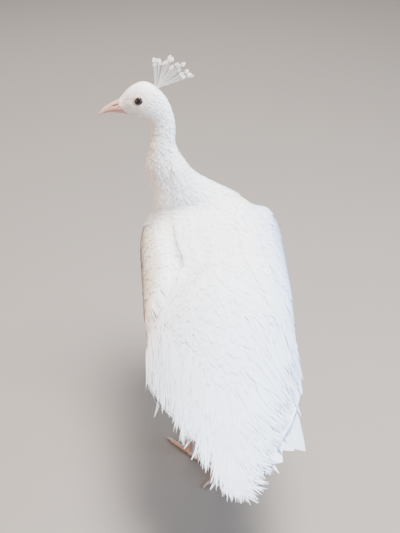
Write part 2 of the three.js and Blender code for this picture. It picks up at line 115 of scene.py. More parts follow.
# ---- trunk, neck and head
bodyShape = {
    # back point, belly point, half width, turn to the left in degrees
    "stations": [
        ((0, 334, 309), (0, 334, 296), 26, 0),
        ((0, 295, 323), (0, 293, 286), 50, 0),
        ((0, 245, 344), (0, 240, 270), 71, 0),
        ((0, 185, 372), (0, 178, 254), 86, 0),
        ((0, 125, 399), (0, 115, 245), 94, 0),
        ((0, 65, 421), (0, 55, 242), 97, 0),
        ((0, 20, 430), (0, 2, 249), 97, 0),
        ((0, -5, 433), (0, -46, 268), 95, 0),
        ((0, -19, 440), (1, -88, 303), 97, 2),
        ((1, -28, 450), (10, -110, 350), 93, 6),
        ((7, -33, 460), (33, -112, 396), 80, 15),
        ((20, -34, 475), (63, -103, 437), 59, 29),
        ((32.5, -33, 497.5), (88, -86, 474), 40, 43),
        ((43.5, -33, 523.5), (103, -68, 511), 30, 58),
        ((56.5, -38, 556), (99, -51, 551), 20.4, 74),
        ((56.5, -43, 584), (95, -45, 578), 16.8, 87),
        ((59.5, -44, 608), (97, -44, 593.5), 15.6, 90),
        ((68.8, -44, 634), (102, -44, 600.5), 16.6, 90),
        ((86, -44, 656), (106.5, -44, 603.5), 18.4, 90),
        ((106, -44, 665), (113, -44, 606.5), 18.8, 90),
        ((126, -44, 656.5), (121.5, -44, 609.8), 16, 90),
        ((139, -44, 643), (131.5, -44, 613), 10.8, 90),
        ((145.5, -44, 636.5), (140, -44, 618), 7.4, 90),
    ],
    # station and depth of the skin below the coat's surface
    "coatDepth": [(0, 4.2), (6, 4.4), (9, 4), (12, 3), (15, 2.3), (16.5, 1.6), (22, 0.9)],
    # station and roundness of the section: lower is squarer
    "roundness": [(8, 0.84), (11, 1)],
}
bodyBack, bodyBelly, bodyHalf, bodyTurn = smoothColumns(bodyShape["stations"], 0, 1, 2, 3)
lastStation = len(bodyShape["stations"]) - 1


def bodyPoint(station, angle, inset=0.0):
    station, angle = np.broadcast_arrays(np.asarray(station, float), np.asarray(angle, float))
    back, belly = bodyBack(station), bodyBelly(station)
    centre = (back + belly) / 2
    reach = np.linalg.norm(back - centre, axis=-1)
    up = unit(back - centre)
    heading = np.radians(bodyTurn(station))
    side = np.stack([np.cos(heading), np.sin(heading), np.zeros_like(heading)], -1)
    side = unit(side - up * np.sum(side * up, -1, keepdims=True))
    power = between(station, bodyShape["roundness"])
    across = np.maximum(bodyHalf(station) - inset, 1) * signedPower(np.cos(angle), power)
    rise = np.maximum(reach - inset, 1) * signedPower(np.sin(angle), power)
    return centre + side * across[..., None] + up * rise[..., None]


# ---- wings
wingShape = {
    # y, axis height, reach to the side, reach upwards, lower and upper edge in degrees, thickness
    "stations": [
        (-99, 358, 105, 70, -24, 32, 12),
        (-84, 356, 118, 86, -38, 46, 30),
        (-42, 350, 122.5, 91, -46, 54, 36),
        (20, 342, 121, 90, -44, 58, 36),
        (90, 331, 119, 85, -38, 56, 36),
        (150, 322, 117, 66, -32, 48, 32),
        (205, 307, 107, 44, -30, 36, 24),
        (255, 294, 93, 30, -30, 26, 16),
        (300, 285, 79, 26, -26, 22, 11),
        (328, 281, 67, 22, -14, 12, 7),
    ],
    "roundness": 0.82,
    "rightSlack": 4,  # the right wing hangs this much further out than the left
    "tipDraw": 0.35, "tipDrop": 0.2,  # how the tip draws in and drops past the last station
    "fold": {1: 10, -1: 5.5},  # how deep each wing's upper edge sinks under the back's feathers
    # where that fold rises and fades: past the line below, along y, and in height
    "foldPast": (-3, 5), "foldFade": (8, 34), "foldFrom": (-40, 30), "foldTo": (165, 190),
    "foldAbove": (320, 350),
    # how far out the back's feathers reach over each folded wing
    "foldLine": {1: [(-60, 66), (14, 62), (52, 56), (76, 52), (117, 74), (148, 97), (175, 114)],
                 -1: [(-60, 72), (-16, 72), (58, 76), (108, 96), (144, 109), (175, 118)]},
}
wingColumns = smoothColumns(wingShape["stations"], *range(7))
wingY, wingAxis, wingWide, wingHigh, wingFrom, wingTo, wingThick = wingColumns
lastWingY = wingShape["stations"][-1][0]


def wingRow(y):
    # the station number at a distance y behind the shoulders
    rows = np.linspace(0, len(wingShape["stations"]) - 1, 400)
    return np.interp(y, wingY(rows), rows)


def wingPoint(y, degrees, side, depth=0.0):
    # the outer face at a distance y, at an angle above the wing's axis
    row = wingRow(y)
    beyond = np.maximum(np.asarray(y, float) - lastWingY, 0)
    turn = np.radians(degrees)
    power = wingShape["roundness"]
    x = (wingWide(row) - depth - wingShape["tipDraw"] * beyond) * np.maximum(np.cos(turn), 0) ** power
    rise = (wingHigh(row) - depth) * signedPower(np.sin(turn), power)
    z = wingAxis(row) - wingShape["tipDrop"] * beyond + rise
    x = side * x - (wingShape["rightSlack"] if side < 0 else 0)
    return np.stack([x, np.asarray(y, float) + 0 * x, z + 0 * x], -1)


def wingAt(y, share, side):
    # a place at a share of the wing's height from its lower edge
    row = wingRow(y)
    return wingPoint(y, wingFrom(row) + (wingTo(row) - wingFrom(row)) * share, side)


def foldLine(y, side):
    return between(y, wingShape["foldLine"][side])


def wingFold(points):
    # how deep the wing sinks, in millimetres, where the back's feathers overlap it
    x, y, z = np.moveaxis(drawn(points), -1, 0)
    out = np.zeros(x.shape)
    for side, deep in wingShape["fold"].items():
        beyond = side * x - foldLine(y, side)
        fold = (smoothStep(*wingShape["foldPast"], beyond)
                * (1 - smoothStep(*wingShape["foldFade"], beyond)))
        out += (deep * fold * smoothStep(*wingShape["foldFrom"], y)
                * (1 - smoothStep(*wingShape["foldTo"], y)) * smoothStep(*wingShape["foldAbove"], z))
    return out


# ---- train and tail
trainShape = {
    # y, height of the back, half width, droop of the edges
    "profile": [(60, 430, 40, 8), (90, 425, 56, 16), (120, 415, 78, 30), (150, 405, 102, 55),
                (180, 394, 117, 72), (230, 372, 120, 76), (280, 350, 115, 68), (330, 329, 106, 52),
                (380, 308, 96, 34), (430, 288, 80, 20), (480, 270, 62, 12), (530, 252, 50, 8)],
    "droopCurve": 2.2,
    # y where the feathers end, from the right edge (-1) to the left edge (1)
    "end": [(-1, 262), (-0.85, 350), (-0.6, 418), (-0.3, 452), (0, 460),
            (0.25, 444), (0.5, 398), (0.75, 338), (1, 238)],
    "tailEnd": [(-1, 360), (-0.75, 388), (-0.4, 424), (0, 424), (0.4, 376), (0.7, 328), (1, 302)],
    "front": 100, "frontSweep": 78, "frontCurve": 1.6,
    # depth below the back's surface, or y and depth, where the upper and lower feathers and the tail lie
    "over": 2.4, "under": [(96, 22), (400, 5)], "tail": [(292, 24), (450, 13), (520, 10)],
    "length": 460,
    # the feathers' tips step back on the right, where the tail shows
    "notch": {"at": -0.8, "width": 0.17, "depth": 26},
}
trainTop, trainHalf, trainDroop = smoothColumns(trainShape["profile"], 1, 2, 3)


def trainRow(y):
    return np.interp(y, [row[0] for row in trainShape["profile"]], np.arange(len(trainShape["profile"])))


def endOf(key, across):
    rows = trainShape[key]
    return smoothColumn([row[1] for row in rows])(
        np.interp(across, [row[0] for row in rows], np.arange(len(rows))))


def trainFront(across):
    # where the train's feathers start
    return trainShape["front"] + trainShape["frontSweep"] * np.abs(across) ** trainShape["frontCurve"]


def trainPoint(across, y, below=0.0):
    across, y = np.broadcast_arrays(np.asarray(across, float), np.asarray(y, float))
    row = trainRow(y)
    x = across * trainHalf(row)
    z = trainTop(row) - below - trainDroop(row) * np.abs(across) ** trainShape["droopCurve"]
    return np.stack([x, y, z], -1)


def overTrain(across, y):
    return trainPoint(across, y, trainShape["over"])


def underTrain(across, y):
    return trainPoint(across, y, between(y, trainShape["under"]))


def tailPoint(across, y):
    # the tail's sheet hangs under the train's
    return trainPoint(across, y, between(y, trainShape["tail"]))


# ---- legs
legShape = {
    "left": {"hip": (50, 66, 290), "knee": (51, 84, 232), "ankle": (45, 124, 134), "foot": (42, 84, 12),
             "heading": 6, "side": 1},
    "right": {"hip": (-48, 84, 290), "knee": (-44, 112, 232), "ankle": (-20, 178, 133),
              "foot": (2, 142, 12), "heading": -14, "side": -1},
    # angle from the leg's heading, length, and thickness to the toes' radius
    "toes": {"inner": (-34, 46, 1), "middle": (0, 63, 1.08), "outer": (38, 49, 0.98),
             "hind": (-150, 22, 0.82)},
    "toeRadius": 4.6, "shinRadius": 5.2,
}


# ---- helpers for nodes and meshes
class Wiring:
    # puts nodes into a tree and feeds their sockets with values or links
    def __init__(self, tree):
        self.tree = tree

    def feed(self, socket, value):
        if isinstance(value, bpy.types.NodeSocket):
            self.tree.links.new(value, socket)
        else:
            socket.default_value = value

    def node(self, kind, inputs=(), **settings):
        node = self.tree.nodes.new(kind)
        for key, value in settings.items():
            setattr(node, key, value)
        for key, value in dict(inputs).items():
            self.feed(node.inputs[key], value)
        return node

    def math(self, operation, *values):
        return self.node("ShaderNodeMath", enumerate(values), operation=operation).outputs[0]

    def vector(self, operation, *values):
        places = (0, "Scale" if operation == "SCALE" else 1)
        node = self.node("ShaderNodeVectorMath", zip(places, values), operation=operation)
        return node.outputs["Value" if operation in ("DISTANCE", "LENGTH") else "Vector"]

    def parts(self, vector):
        return self.node("ShaderNodeSeparateXYZ", {0: vector}).outputs


class Shader(Wiring):
    def __init__(self, name):
        self.material = bpy.data.materials.new(name)
        self.material.use_nodes = True
        super().__init__(self.material.node_tree)

    def surface(self, inputs):
        for label, value in inputs.items():
            self.feed(self.tree.nodes["Principled BSDF"].inputs[label], value)
        return self.material

    def chain(self, operation, *values):
        total = values[0]
        for value in values[1:]:
            total = self.math(operation, total, value)
        return total

    def where(self):
        return self.node("ShaderNodeTexCoord").outputs["Object"]

    def ramp(self, value, low, high):
        return self.node("ShaderNodeMapRange", {"Value": value, "From Min": low, "From Max": high},
                         interpolation_type="SMOOTHSTEP").outputs[0]

    def axisRamp(self, parts, axis, low, high):
        # rises from 0 to 1 between two places in the drawing, along x (0), y (1) or z (2)
        start = float(toFrame[axis])
        return self.ramp(parts[axis], start + low * mm, start + high * mm)

    def mix(self, factor, first, second):
        return self.node("ShaderNodeMix", {0: factor, 6: colour(first), 7: colour(second)},
                         data_type="RGBA").outputs[2]

    def noise(self, vector, scale, detail=3.0):
        return self.node("ShaderNodeTexNoise",
                         {"Vector": vector, "Scale": scale, "Detail": detail}).outputs[0]

    def attribute(self, name):
        return self.node("ShaderNodeAttribute", attribute_name=name).outputs["Fac"]

    def bump(self, height, strength, distance):
        return self.node("ShaderNodeBump", {"Height": height, "Strength": strength,
                                            "Distance": distance}).outputs[0]


def colour(value):
    return value if isinstance(value, bpy.types.NodeSocket) else (*value[:3], 1)


def objectFrom(name, mesh):
    obj = bpy.data.objects.new(name, mesh)
    scene.collection.objects.link(obj)
    return obj


def meshObject(name, points, faces, material=None):
    mesh = bpy.data.meshes.new(name)
    mesh.from_pydata([tuple(p) for p in points], [], [tuple(f) for f in faces])
    mesh.validate()
    mesh.shade_smooth()
    if material:
        mesh.materials.append(material)
    return objectFrom(name, mesh)


def rowsOf(items, field, width, kind=np.float32):
    # a field of every item, as rows
    flat = np.zeros(len(items) * width, kind)
    items.foreach_get(field, flat)
    return flat.reshape(-1, width)


def coordinates(mesh):
    return rowsOf(mesh.vertices, "co", 3).astype(float)


def storeAt(mesh, label, kind, values):
    # a number or vector at each point
    layer = mesh.attributes.new(label, kind, "POINT")
    flat = np.ascontiguousarray(values, np.int32 if kind == "INT" else np.float32).ravel()
    layer.data.foreach_set("vector" if kind == "FLOAT_VECTOR" else "value", flat)


def outward(obj):
    shape = bmesh.new()
    shape.from_mesh(obj.data)
    bmesh.ops.recalc_face_normals(shape, faces=shape.faces)
    shape.to_mesh(obj.data)
    shape.free()
    return obj


def gridFaces(rows, columns, around=False, along=False):
    # faces over rows of points; around joins the ends of each row, along joins the last row to the first
    return [(i * columns + j, i * columns + (j + 1) % columns,
             (i + 1) % rows * columns + (j + 1) % columns, (i + 1) % rows * columns + j)
            for i in range(rows if along else rows - 1)
            for j in range(columns if around else columns - 1)]


def ringStack(rings):
    # rings of points joined into a closed skin, with a cap of triangles at each end
    rings = np.asarray(rings, float)
    count, around = rings.shape[:2]
    points = np.array(list(rings.reshape(-1, 3)) + [rings[0].mean(0), rings[-1].mean(0)])
    faces = gridFaces(count, around, around=True)
    last = (count - 1) * around
    for j in range(around):
        n = (j + 1) % around
        faces.append((len(points) - 2, n, j))
        faces.append((len(points) - 1, last + j, last + n))
    return points, faces


def shellObject(name, shells, material=None, floor=None):
    # closed shells of rings in millimetres as one mesh; no point lies lower than the floor height given
    points, faces = [], []
    for rings in shells:
        more, quads = ringStack(rings)
        if floor is not None:
            more[:, 2] = np.maximum(more[:, 2], floor)
        faces += [tuple(corner + len(points) for corner in face) for face in quads]
        points += list(placed(more))
    return outward(meshObject(name, points, faces, material))


def taperedTube(points, radii, sides=16, steps=6, flatten=1.0, level=None):
    # rings along a smooth path, in millimetres, with a radius at each point of the path
    path, radius = smoothColumn(points), smoothColumn(radii)
    places = np.linspace(0, len(points) - 1, (len(points) - 1) * steps + 1)
    spots = path(places)
    along = unit(np.gradient(spots, axis=0))
    if level is None:
        side = np.cross(along, (0, 0, 1))
    else:
        side = level - along * (along @ np.array(level))[:, None]
    side[np.linalg.norm(side, axis=1) < 0.2] = (1, 0, 0)
    side = unit(side)
    up = unit(np.cross(side, along))
    size = radius(places)[:, None] * np.ones(sides)
    return (spots[:, None] + side[:, None] * (size * np.cos(turns(sides)))[..., None]
            + up[:, None] * (size * flatten * np.sin(turns(sides)))[..., None])


def finishPiece(obj, slotName, *nodes):
    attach(obj, "root")
    if nodes:
        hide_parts(*nodes)
    return obj


# ---- camera, light and floor
cameraSettings = {"spot": (115.6, 1383.4, 1285.5), "turn": 3.9, "tilt": 34.0, "lens": 67.54, "sensor": 36,
                  "clipEnd": 50}
lightSettings = {
    "sky": 0.58, "skyColour": (0.88, 0.94, 1), "aim": (0, 120, 330),
    "lamps": {
        "key": {"spot": (-350, 420, 2500), "size": 0.9, "power": 262, "colour": (1, 0.985, 0.965)},
        "warm": {"spot": (1900, 300, 500), "size": 1.4, "power": 44, "colour": (1, 0.76, 0.59)},
        "cool": {"spot": (-1700, 1100, 800), "size": 1.4, "power": 84, "colour": (0.46, 0.69, 1)},
        "front": {"spot": (300, -1900, 1700), "size": 1.8, "power": 45, "colour": (1, 0.97, 0.94)},
    },
}
floorSettings = {"colour": (0.21, 0.183, 0.162), "roughness": 0.9, "reach": 9}


def aimed(name, data, spot, ahead):
    obj = objectFrom(name, data)
    obj.matrix_world = Matrix.Translation(spot) @ ahead.to_track_quat("-Z", "Y").to_matrix().to_4x4()
    return obj


def makeCamera():
    data = bpy.data.cameras.new("camera")
    data.lens = cameraSettings["lens"]
    data.sensor_width = cameraSettings["sensor"]
    data.clip_end = cameraSettings["clipEnd"]
    turn, tilt = math.radians(cameraSettings["turn"]), math.radians(cameraSettings["tilt"])
    ahead = Vector((-math.sin(turn) * math.cos(tilt), -math.cos(turn) * math.cos(tilt), -math.sin(tilt)))
    scene.camera = aimed("camera", data, Vector(placed(cameraSettings["spot"])), ahead)


def makeLight(name, lamp):
    data = bpy.data.lights.new(name, "AREA")
    data.size = lamp["size"]
    data.energy = lamp["power"]
    data.color = lamp["colour"]
    spot = Vector(placed(lamp["spot"]))
    aimed(name, data, spot, Vector(placed(lightSettings["aim"])) - spot)


def makeStage():
    scene.world = bpy.data.worlds.new("studio")
    scene.world.use_nodes = True
    sky = scene.world.node_tree.nodes["Background"].inputs
    sky["Color"].default_value = (*lightSettings["skyColour"], 1)
    sky["Strength"].default_value = lightSettings["sky"]
    material = Shader("paleFloor").surface({"Base Color": colour(floorSettings["colour"]),
                                            "Roughness": floorSettings["roughness"]})
    reach = floorSettings["reach"]
    corners = [(-reach, -reach, 0), (reach, -reach, 0), (reach, reach, 0), (-reach, reach, 0)]
    meshObject("floor", corners, [(0, 1, 2, 3)], material)


makeCamera()
for lampName, lamp in lightSettings["lamps"].items():
    makeLight(lampName, lamp)
makeStage()
print("camera, lights and floor are set")


# ---- materials
plumageLook = {
    "white": (0.885, 0.872, 0.865), "cream": (0.73, 0.575, 0.43), "cool": (0.58, 0.70, 0.91),
    "crest": (0.80, 0.74, 0.69), "shade": (0.62, 0.60, 0.58), "shading": 0.14,
    # painted bluish sky shade: how far the white cools to the rear and to the right: axis, from, to,
    # strength
    "paintedSkyShade": [(1, 20, 300, 0.6), (0, -40, -120, 0.85)],
    # where the tan lies, partly stains and partly painted warm shade: ramps along an axis, from, to, and
    # the tan's strength
    # the left wing's side: a stain with painted warm bounce light and shade
    "stainsAndShade": [([(0, 82, 112), (2, 425, 385), (1, 260, 100), (1, -100, -60)], 1),  # the left wing's side
               # the belly: tanner towards the bottom
               ([(2, 320, 220)], 0.35),  # the belly
               # the front of the neck: painted warm shade
               ([(0, 66, 104), (2, 630, 606), (2, 400, 450)], 0.6)],  # the front of the neck
    "cheek": {"spot": (121, headPlane, 628), "reach": (0.036, 0.016), "strength": 0.55},
    "patches": {"scale": 22, "edge": (0.3, 0.66), "least": 0.65},
    "barbs": {"pitch": 0.0011, "slant": 1.25, "wobble": 0.0011, "ridge": 0.22, "shaft": (0.0009, 0.0002),
              "strength": 0.55, "depth": 0.00035},
}
skinLook = {"face": (0.76, 0.62, 0.50), "leg": (0.42, 0.265, 0.21), "lid": (0.50, 0.40, 0.35),
            # the lids' inner edges carry painted shade
            "paintedRimShade": {"colour": (0.05, 0.038, 0.036), "edge": (0.0074, 0.0066)},
            "bare": {"ahead": 8, "above": -4, "edge": (0.036, 0.03)}}
# shade: the colour of the painted shade along the bill's gape and in its nostrils
hornLook = {"bill": (0.43, 0.225, 0.175), "billTip": (0.42, 0.27, 0.205), "claw": (0.46, 0.29, 0.21),
            "shade": (0.2, 0.12, 0.1), "tipReach": (150, 175)}
eyeLook = {"pupil": (0.006, 0.005, 0.005), "iris": ((0.022, 0.011, 0.007), (0.011, 0.007, 0.005)),
           "irisEdges": ((0.0034, 0.004), (0.0064, 0.0054))}


def distanceFrom(shader, where, spot):
    return shader.vector("DISTANCE", where, tuple(placed(spot)))


def stainedAndShadedWhite(shader, where, white):
    # white with painted bluish sky shade to the rear and the right, under tan that is partly stain and
    # partly painted warm shade
    parts, patches, cheek = shader.parts(where), plumageLook["patches"], plumageLook["cheek"]
    paintedSkyShade = [shader.math("MULTIPLY", shader.axisRamp(parts, *ramp), strength)
               for *ramp, strength in plumageLook["paintedSkyShade"]]
    stainsAndShade = [shader.chain("MULTIPLY", *[shader.axisRamp(parts, *ramp) for ramp in ramps], strength)
              for ramps, strength in plumageLook["stainsAndShade"]]
    stainsAndShade.append(shader.math("MULTIPLY",
                              shader.ramp(distanceFrom(shader, where, cheek["spot"]), *cheek["reach"]),
                              cheek["strength"]))
    blotch = shader.ramp(shader.noise(where, patches["scale"]), *patches["edge"])
    uneven = shader.math("MULTIPLY_ADD", blotch, 1 - patches["least"], patches["least"])
    # the tan: stains, with painted warm shade on the left wing's side and the front of the neck
    tanShare = shader.math("MULTIPLY", uneven, shader.chain("MAXIMUM", *stainsAndShade))
    # painted sky shade: the white turns bluish to the rear and the right
    base = shader.mix(shader.chain("MAXIMUM", *paintedSkyShade), white, plumageLook["cool"])
    return shader.mix(tanShare, base, plumageLook["cream"])


def barbBump(shader, where):
    # fine slanted barbs on both sides of a raised shaft
    look = plumageLook["barbs"]
    cut = shader.parts(shader.node("ShaderNodeUVMap", uv_map="vane").outputs[0])
    across = shader.math("ABSOLUTE", cut[0])
    slant = shader.math("SUBTRACT", cut[1], shader.math("MULTIPLY", across, look["slant"]))
    wobble = shader.math("MULTIPLY", shader.noise(where, 160, 2), look["wobble"])
    phase = shader.math("MULTIPLY", shader.math("ADD", slant, wobble), 2 * math.pi / look["pitch"])
    height = shader.math("MULTIPLY_ADD", shader.math("SINE", phase), look["ridge"],
                         shader.ramp(across, *look["shaft"]))
    return shader.bump(height, look["strength"], look["depth"])


def plumageMaterial(name, roughness=0.62, barbs=True, white=plumageLook["white"]):
    shader = Shader(name)
    where = shader.where()
    shade = shader.math("MULTIPLY", shader.attribute("tint"), plumageLook["shading"])
    base = shader.mix(shade, stainedAndShadedWhite(shader, where, white), plumageLook["shade"])
    if barbs:
        shader.surface({"Normal": barbBump(shader, where)})
    return shader.surface({"Base Color": base, "Roughness": roughness, "Sheen Weight": 0.12,
                           "Sheen Roughness": 0.4, "Specular IOR Level": 0.3, "Subsurface Weight": 0.2,
                           "Subsurface Radius": (1, 0.96, 0.92), "Subsurface Scale": 0.004})


def skinMaterial(name, base, fold, roughness, coated=False, rim=False):
    shader = Shader(name)
    where = shader.where()
    cells = shader.node("ShaderNodeTexVoronoi", {"Vector": where, "Scale": fold}).outputs[0]
    patch = shader.ramp(shader.noise(where, 90), 0.35, 0.7)
    rosy = shader.mix(patch, base, [c * 0.86 for c in base])
    if coated:
        # bare skin only round the eyes and at the bill; white down under the coat, with the coat's stains
        # and painted shade
        bare = skinLook["bare"]
        away = distanceFrom(shader, where, (eyeSpot["forward"] + bare["ahead"], headPlane,
                                            eyeSpot["up"] + bare["above"]))
        rosy = shader.mix(shader.ramp(away, *bare["edge"]),
                          stainedAndShadedWhite(shader, where, plumageLook["white"]), rosy)
    if rim:
        # painted shade: the lids' edges next to the eye are darkened
        edge = shader.ramp(fromEyeAxis(shader, where), *skinLook["paintedRimShade"]["edge"])
        rosy = shader.mix(edge, rosy, skinLook["paintedRimShade"]["colour"])
    return shader.surface({"Base Color": rosy, "Roughness": roughness, "Specular IOR Level": 0.35,
                           "Normal": shader.bump(cells, 0.5, 0.0004)})


def hornMaterial(name, base, tipReach=None):
    # tipReach: the two x positions between which the horn pales to its tip
    shader = Shader(name)
    where = shader.where()
    pale = shader.axisRamp(shader.parts(where), 0, *tipReach) if tipReach else 0.5
    grain = shader.noise(where, 300, 2)
    streak = shader.math("MULTIPLY", shader.ramp(grain, 0.3, 0.7), 0.25)
    mixed = shader.mix(streak, shader.mix(pale, base, hornLook["billTip"]), [c * 0.8 for c in base])
    # painted shade from the shade attribute: darker along the bill's gape and in its nostrils
    mixed = shader.mix(shader.attribute("shade"), mixed, hornLook["shade"])
    return shader.surface({"Base Color": mixed, "Roughness": 0.36,
                           "Normal": shader.bump(grain, 0.15, 0.0003)})


def fromEyeAxis(shader, where):
    # the distance from the axis through both eyes
    axis = placed((eyeSpot["forward"], 0, eyeSpot["up"]))
    offset = shader.vector("SUBTRACT", where, tuple(axis))
    return shader.vector("LENGTH", shader.vector("MULTIPLY", offset, (1, 0, 1)))


def eyeMaterial():
    # a dark brown iris round a black pupil
    shader = Shader("eyeGlass")
    where = shader.where()
    distance = fromEyeAxis(shader, where)
    iris = shader.chain("MULTIPLY", *[shader.ramp(distance, *edge) for edge in eyeLook["irisEdges"]])
    brown = shader.mix(shader.noise(where, 900, 2), *eyeLook["iris"])
    return shader.surface({"Base Color": shader.mix(iris, eyeLook["pupil"], brown), "Roughness": 0.1,
                           "Specular IOR Level": 0.28})


plumage = plumageMaterial("whitePlumage")
downyPlumage = plumageMaterial("downyPlumage", 0.8, barbs=False)
crestPlumage = plumageMaterial("crestPlumage", 0.7, barbs=False, white=plumageLook["crest"])
faceSkin = skinMaterial("faceSkin", skinLook["face"], 900, 0.5, coated=True)
legSkin = skinMaterial("legSkin", skinLook["leg"], 620, 0.48)
lidSkin = skinMaterial("lidSkin", skinLook["lid"], 1400, 0.42, rim=True)
billHorn = hornMaterial("billHorn", hornLook["bill"], hornLook["tipReach"])
clawHorn = hornMaterial("clawHorn", hornLook["claw"])
eyeGlass = eyeMaterial()
print("materials are ready")


# ---- skin: trunk, neck and head as one loft, with the eye sockets, the folded wings' arms and the thighs
skinShape = {
    "around": 144, "rows": [(0, 9.5, 90), (9.5, 16, 90)], "headRows": 120,
    "headStart": (16.5, 17.5), "socketFloor": 16.4, "socketRadius": 26.0, "foldDepth": 1.3,
    "wingInset": 4.4, "bendInset": 2.2, "bend": (-55, -85), "wingRows": (0.62, 40), "wingEnd": 2.3,
    "wingEdge": 5, "wingColumns": 14,
    "thighInset": 3.6, "thighShares": (0.5, 0.82, 0.96), "thighRadii": (33, 30, 19, 11.5, 7.6),
    "thighTaper": (1, 1, 0.8, 0.5, 0.25),
}
bodyNodes = ("trunk", "neck_lower", "neck_upper", "head", "wing_left", "wing_right", "thigh_left",
             "thigh_right")


def socketed(points):
    # the head's sides are dished round the eyes
    out = points.copy()
    flat = np.hypot(points[..., 0] - eyeSpot["forward"], points[..., 2] - eyeSpot["up"])
    radius = skinShape["socketRadius"]
    level = skinShape["socketFloor"] + radius - np.sqrt(np.maximum(radius**2 - flat**2, 0))
    aside = points[..., 1] - headPlane
    near = (flat < radius * 0.5) & (np.abs(aside) > level)
    out[..., 1] = np.where(near, headPlane + np.sign(aside) * level, points[..., 1])
    return out


def loftRings(stations, insets, around):
    # insets: pairs of a station and how deep the loft lies below the coat's surface
    s = np.asarray(stations)[:, None]
    angle = turns(around)[None, :]
    fold = wingFold(placed(bodyPoint(s, angle)))
    points = bodyPoint(s, angle, between(s, insets) + skinShape["foldDepth"] * fold)
    onHead = smoothStep(*skinShape["headStart"], s)[..., None]
    return points * (1 - onHead) + socketed(points) * onHead


def wingSlab(side):
    rings, inset, columns = [], skinShape["wingInset"], skinShape["wingColumns"]
    start, rows = skinShape["wingRows"]
    for row in np.linspace(start, len(wingShape["stations"]) - skinShape["wingEnd"], rows):
        y, low, high, thick = (float(f(row)) for f in (wingY, wingFrom, wingTo, wingThick))
        degrees = np.linspace(low + skinShape["wingEdge"], high - skinShape["wingEdge"], columns)
        bulge = np.sin(np.pi * (np.arange(columns) + 0.5) / columns) ** 0.5
        deep = (inset + wingFold(placed(wingPoint(y, degrees, side)))
                + skinShape["bendInset"] * smoothStep(*skinShape["bend"], y))
        outer = wingPoint(y, degrees, side, deep)
        inner = wingPoint(y, degrees, side, deep + np.maximum(thick - 2 * inset, 1) * bulge)
        rings.append(np.concatenate([outer, inner[::-1]]))
    return rings


def thighRings(leg, inset, sides=28, steps=12):
    hip, knee, ankle = (np.array(leg[k], float) for k in ("hip", "knee", "ankle"))
    points = [hip, knee] + [knee + (ankle - knee) * share for share in skinShape["thighShares"]]
    radii = np.array(skinShape["thighRadii"]) - np.array(skinShape["thighTaper"]) * inset
    return taperedTube(points, radii, sides, steps, level=(1.0, 0, 0))


def makeSkin():
    stations = [np.linspace(start, end, rows, endpoint=False) for start, end, rows in skinShape["rows"]]
    stations.append(np.linspace(skinShape["rows"][-1][1], lastStation, skinShape["headRows"]))
    shells = [loftRings(np.concatenate(stations), bodyShape["coatDepth"], skinShape["around"])]
    shells += [wingSlab(side) for side in (1, -1)]
    shells += [thighRings(legShape[key], skinShape["thighInset"]) for key in ("left", "right")]
    return finishPiece(shellObject("skin", shells, faceSkin), "plumage", *bodyNodes)


skin = makeSkin()
print("skin is made:", len(skin.data.polygons), "faces")


# ---- guides: smooth shapes that the feathers lie on
guideShape = {
    "voxel": 0.0035, "smoothing": 14, "sink": 2.4, "thighSink": 2.2,
    "neck": {"start": 7, "rings": 230, "around": 96,
             "sink": [(11, 2.4), (14.5, 1.9), (16.5, 1.05), (22, 0.84)]},
    # rounds of filling hollows, and the y at which each stops
    "fills": [(110, 500), (50, 500), (330, -40)],
    # no hollow fills near the neck: its front edge, its floor, and pairs of y and the height of its top
    "fillFront": (-130, -105), "fillFloor": (290, 330), "fillTop": [(-75, 478), (-45, 437)],
    "fillRate": 0.95, "softening": 6,
    "sheet": {"reach": 1.12, "from": 60, "to": 520, "rows": 80, "columns": 48},
}


def storeNormals(obj):
    # a smooth normal at each point, for the feathers to stand on
    storeAt(obj.data, "smoothNormal", "FLOAT_VECTOR", rowsOf(obj.data.vertices, "normal", 3))
    return obj


def movePoints(obj, points):
    obj.data.vertices.foreach_set("co", points.astype(np.float32).ravel())
    obj.data.update()


def applyModifiers(obj):
    bpy.context.view_layer.update()
    graph = bpy.context.evaluated_depsgraph_get()
    mesh = bpy.data.meshes.new_from_object(obj.evaluated_get(graph))
    old = obj.data
    obj.modifiers.clear()
    obj.data = mesh
    bpy.data.meshes.remove(old)


def remesh(obj, smoothing=0):
    modifier = obj.modifiers.new("remesh", "REMESH")
    modifier.mode = "VOXEL"
    modifier.voxel_size = guideShape["voxel"]
    if smoothing:
        smooth = obj.modifiers.new("smooth", "SMOOTH")
        smooth.factor = 0.5
        smooth.iterations = smoothing
    applyModifiers(obj)


def makeHullGuide():
    shape = bmesh.new()
    for node in (*bodyNodes, "train"):
        shape.from_mesh(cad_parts[node].data)
    bmesh.ops.remove_doubles(shape, verts=shape.verts, dist=1e-6)
    mesh = bpy.data.meshes.new("hullGuide")
    shape.to_mesh(mesh)
    shape.free()
    obj = objectFrom("hullGuide", mesh)
    remesh(obj, guideShape["smoothing"])
    for rounds, last in guideShape["fills"]:
        movePoints(obj, fillCreases(obj.data, rounds, last))
        remesh(obj)
    points = coordinates(obj.data)
    sink = guideShape["sink"] + wingFold(points)
    movePoints(obj, points - rowsOf(obj.data.vertices, "normal", 3) * sink[:, None] * mm)
    return storeNormals(obj)


def gathered(index, values, count):
    # sums of the rows of values that share an index
    return np.stack([np.bincount(index, values[:, k], count) for k in range(3)], 1)


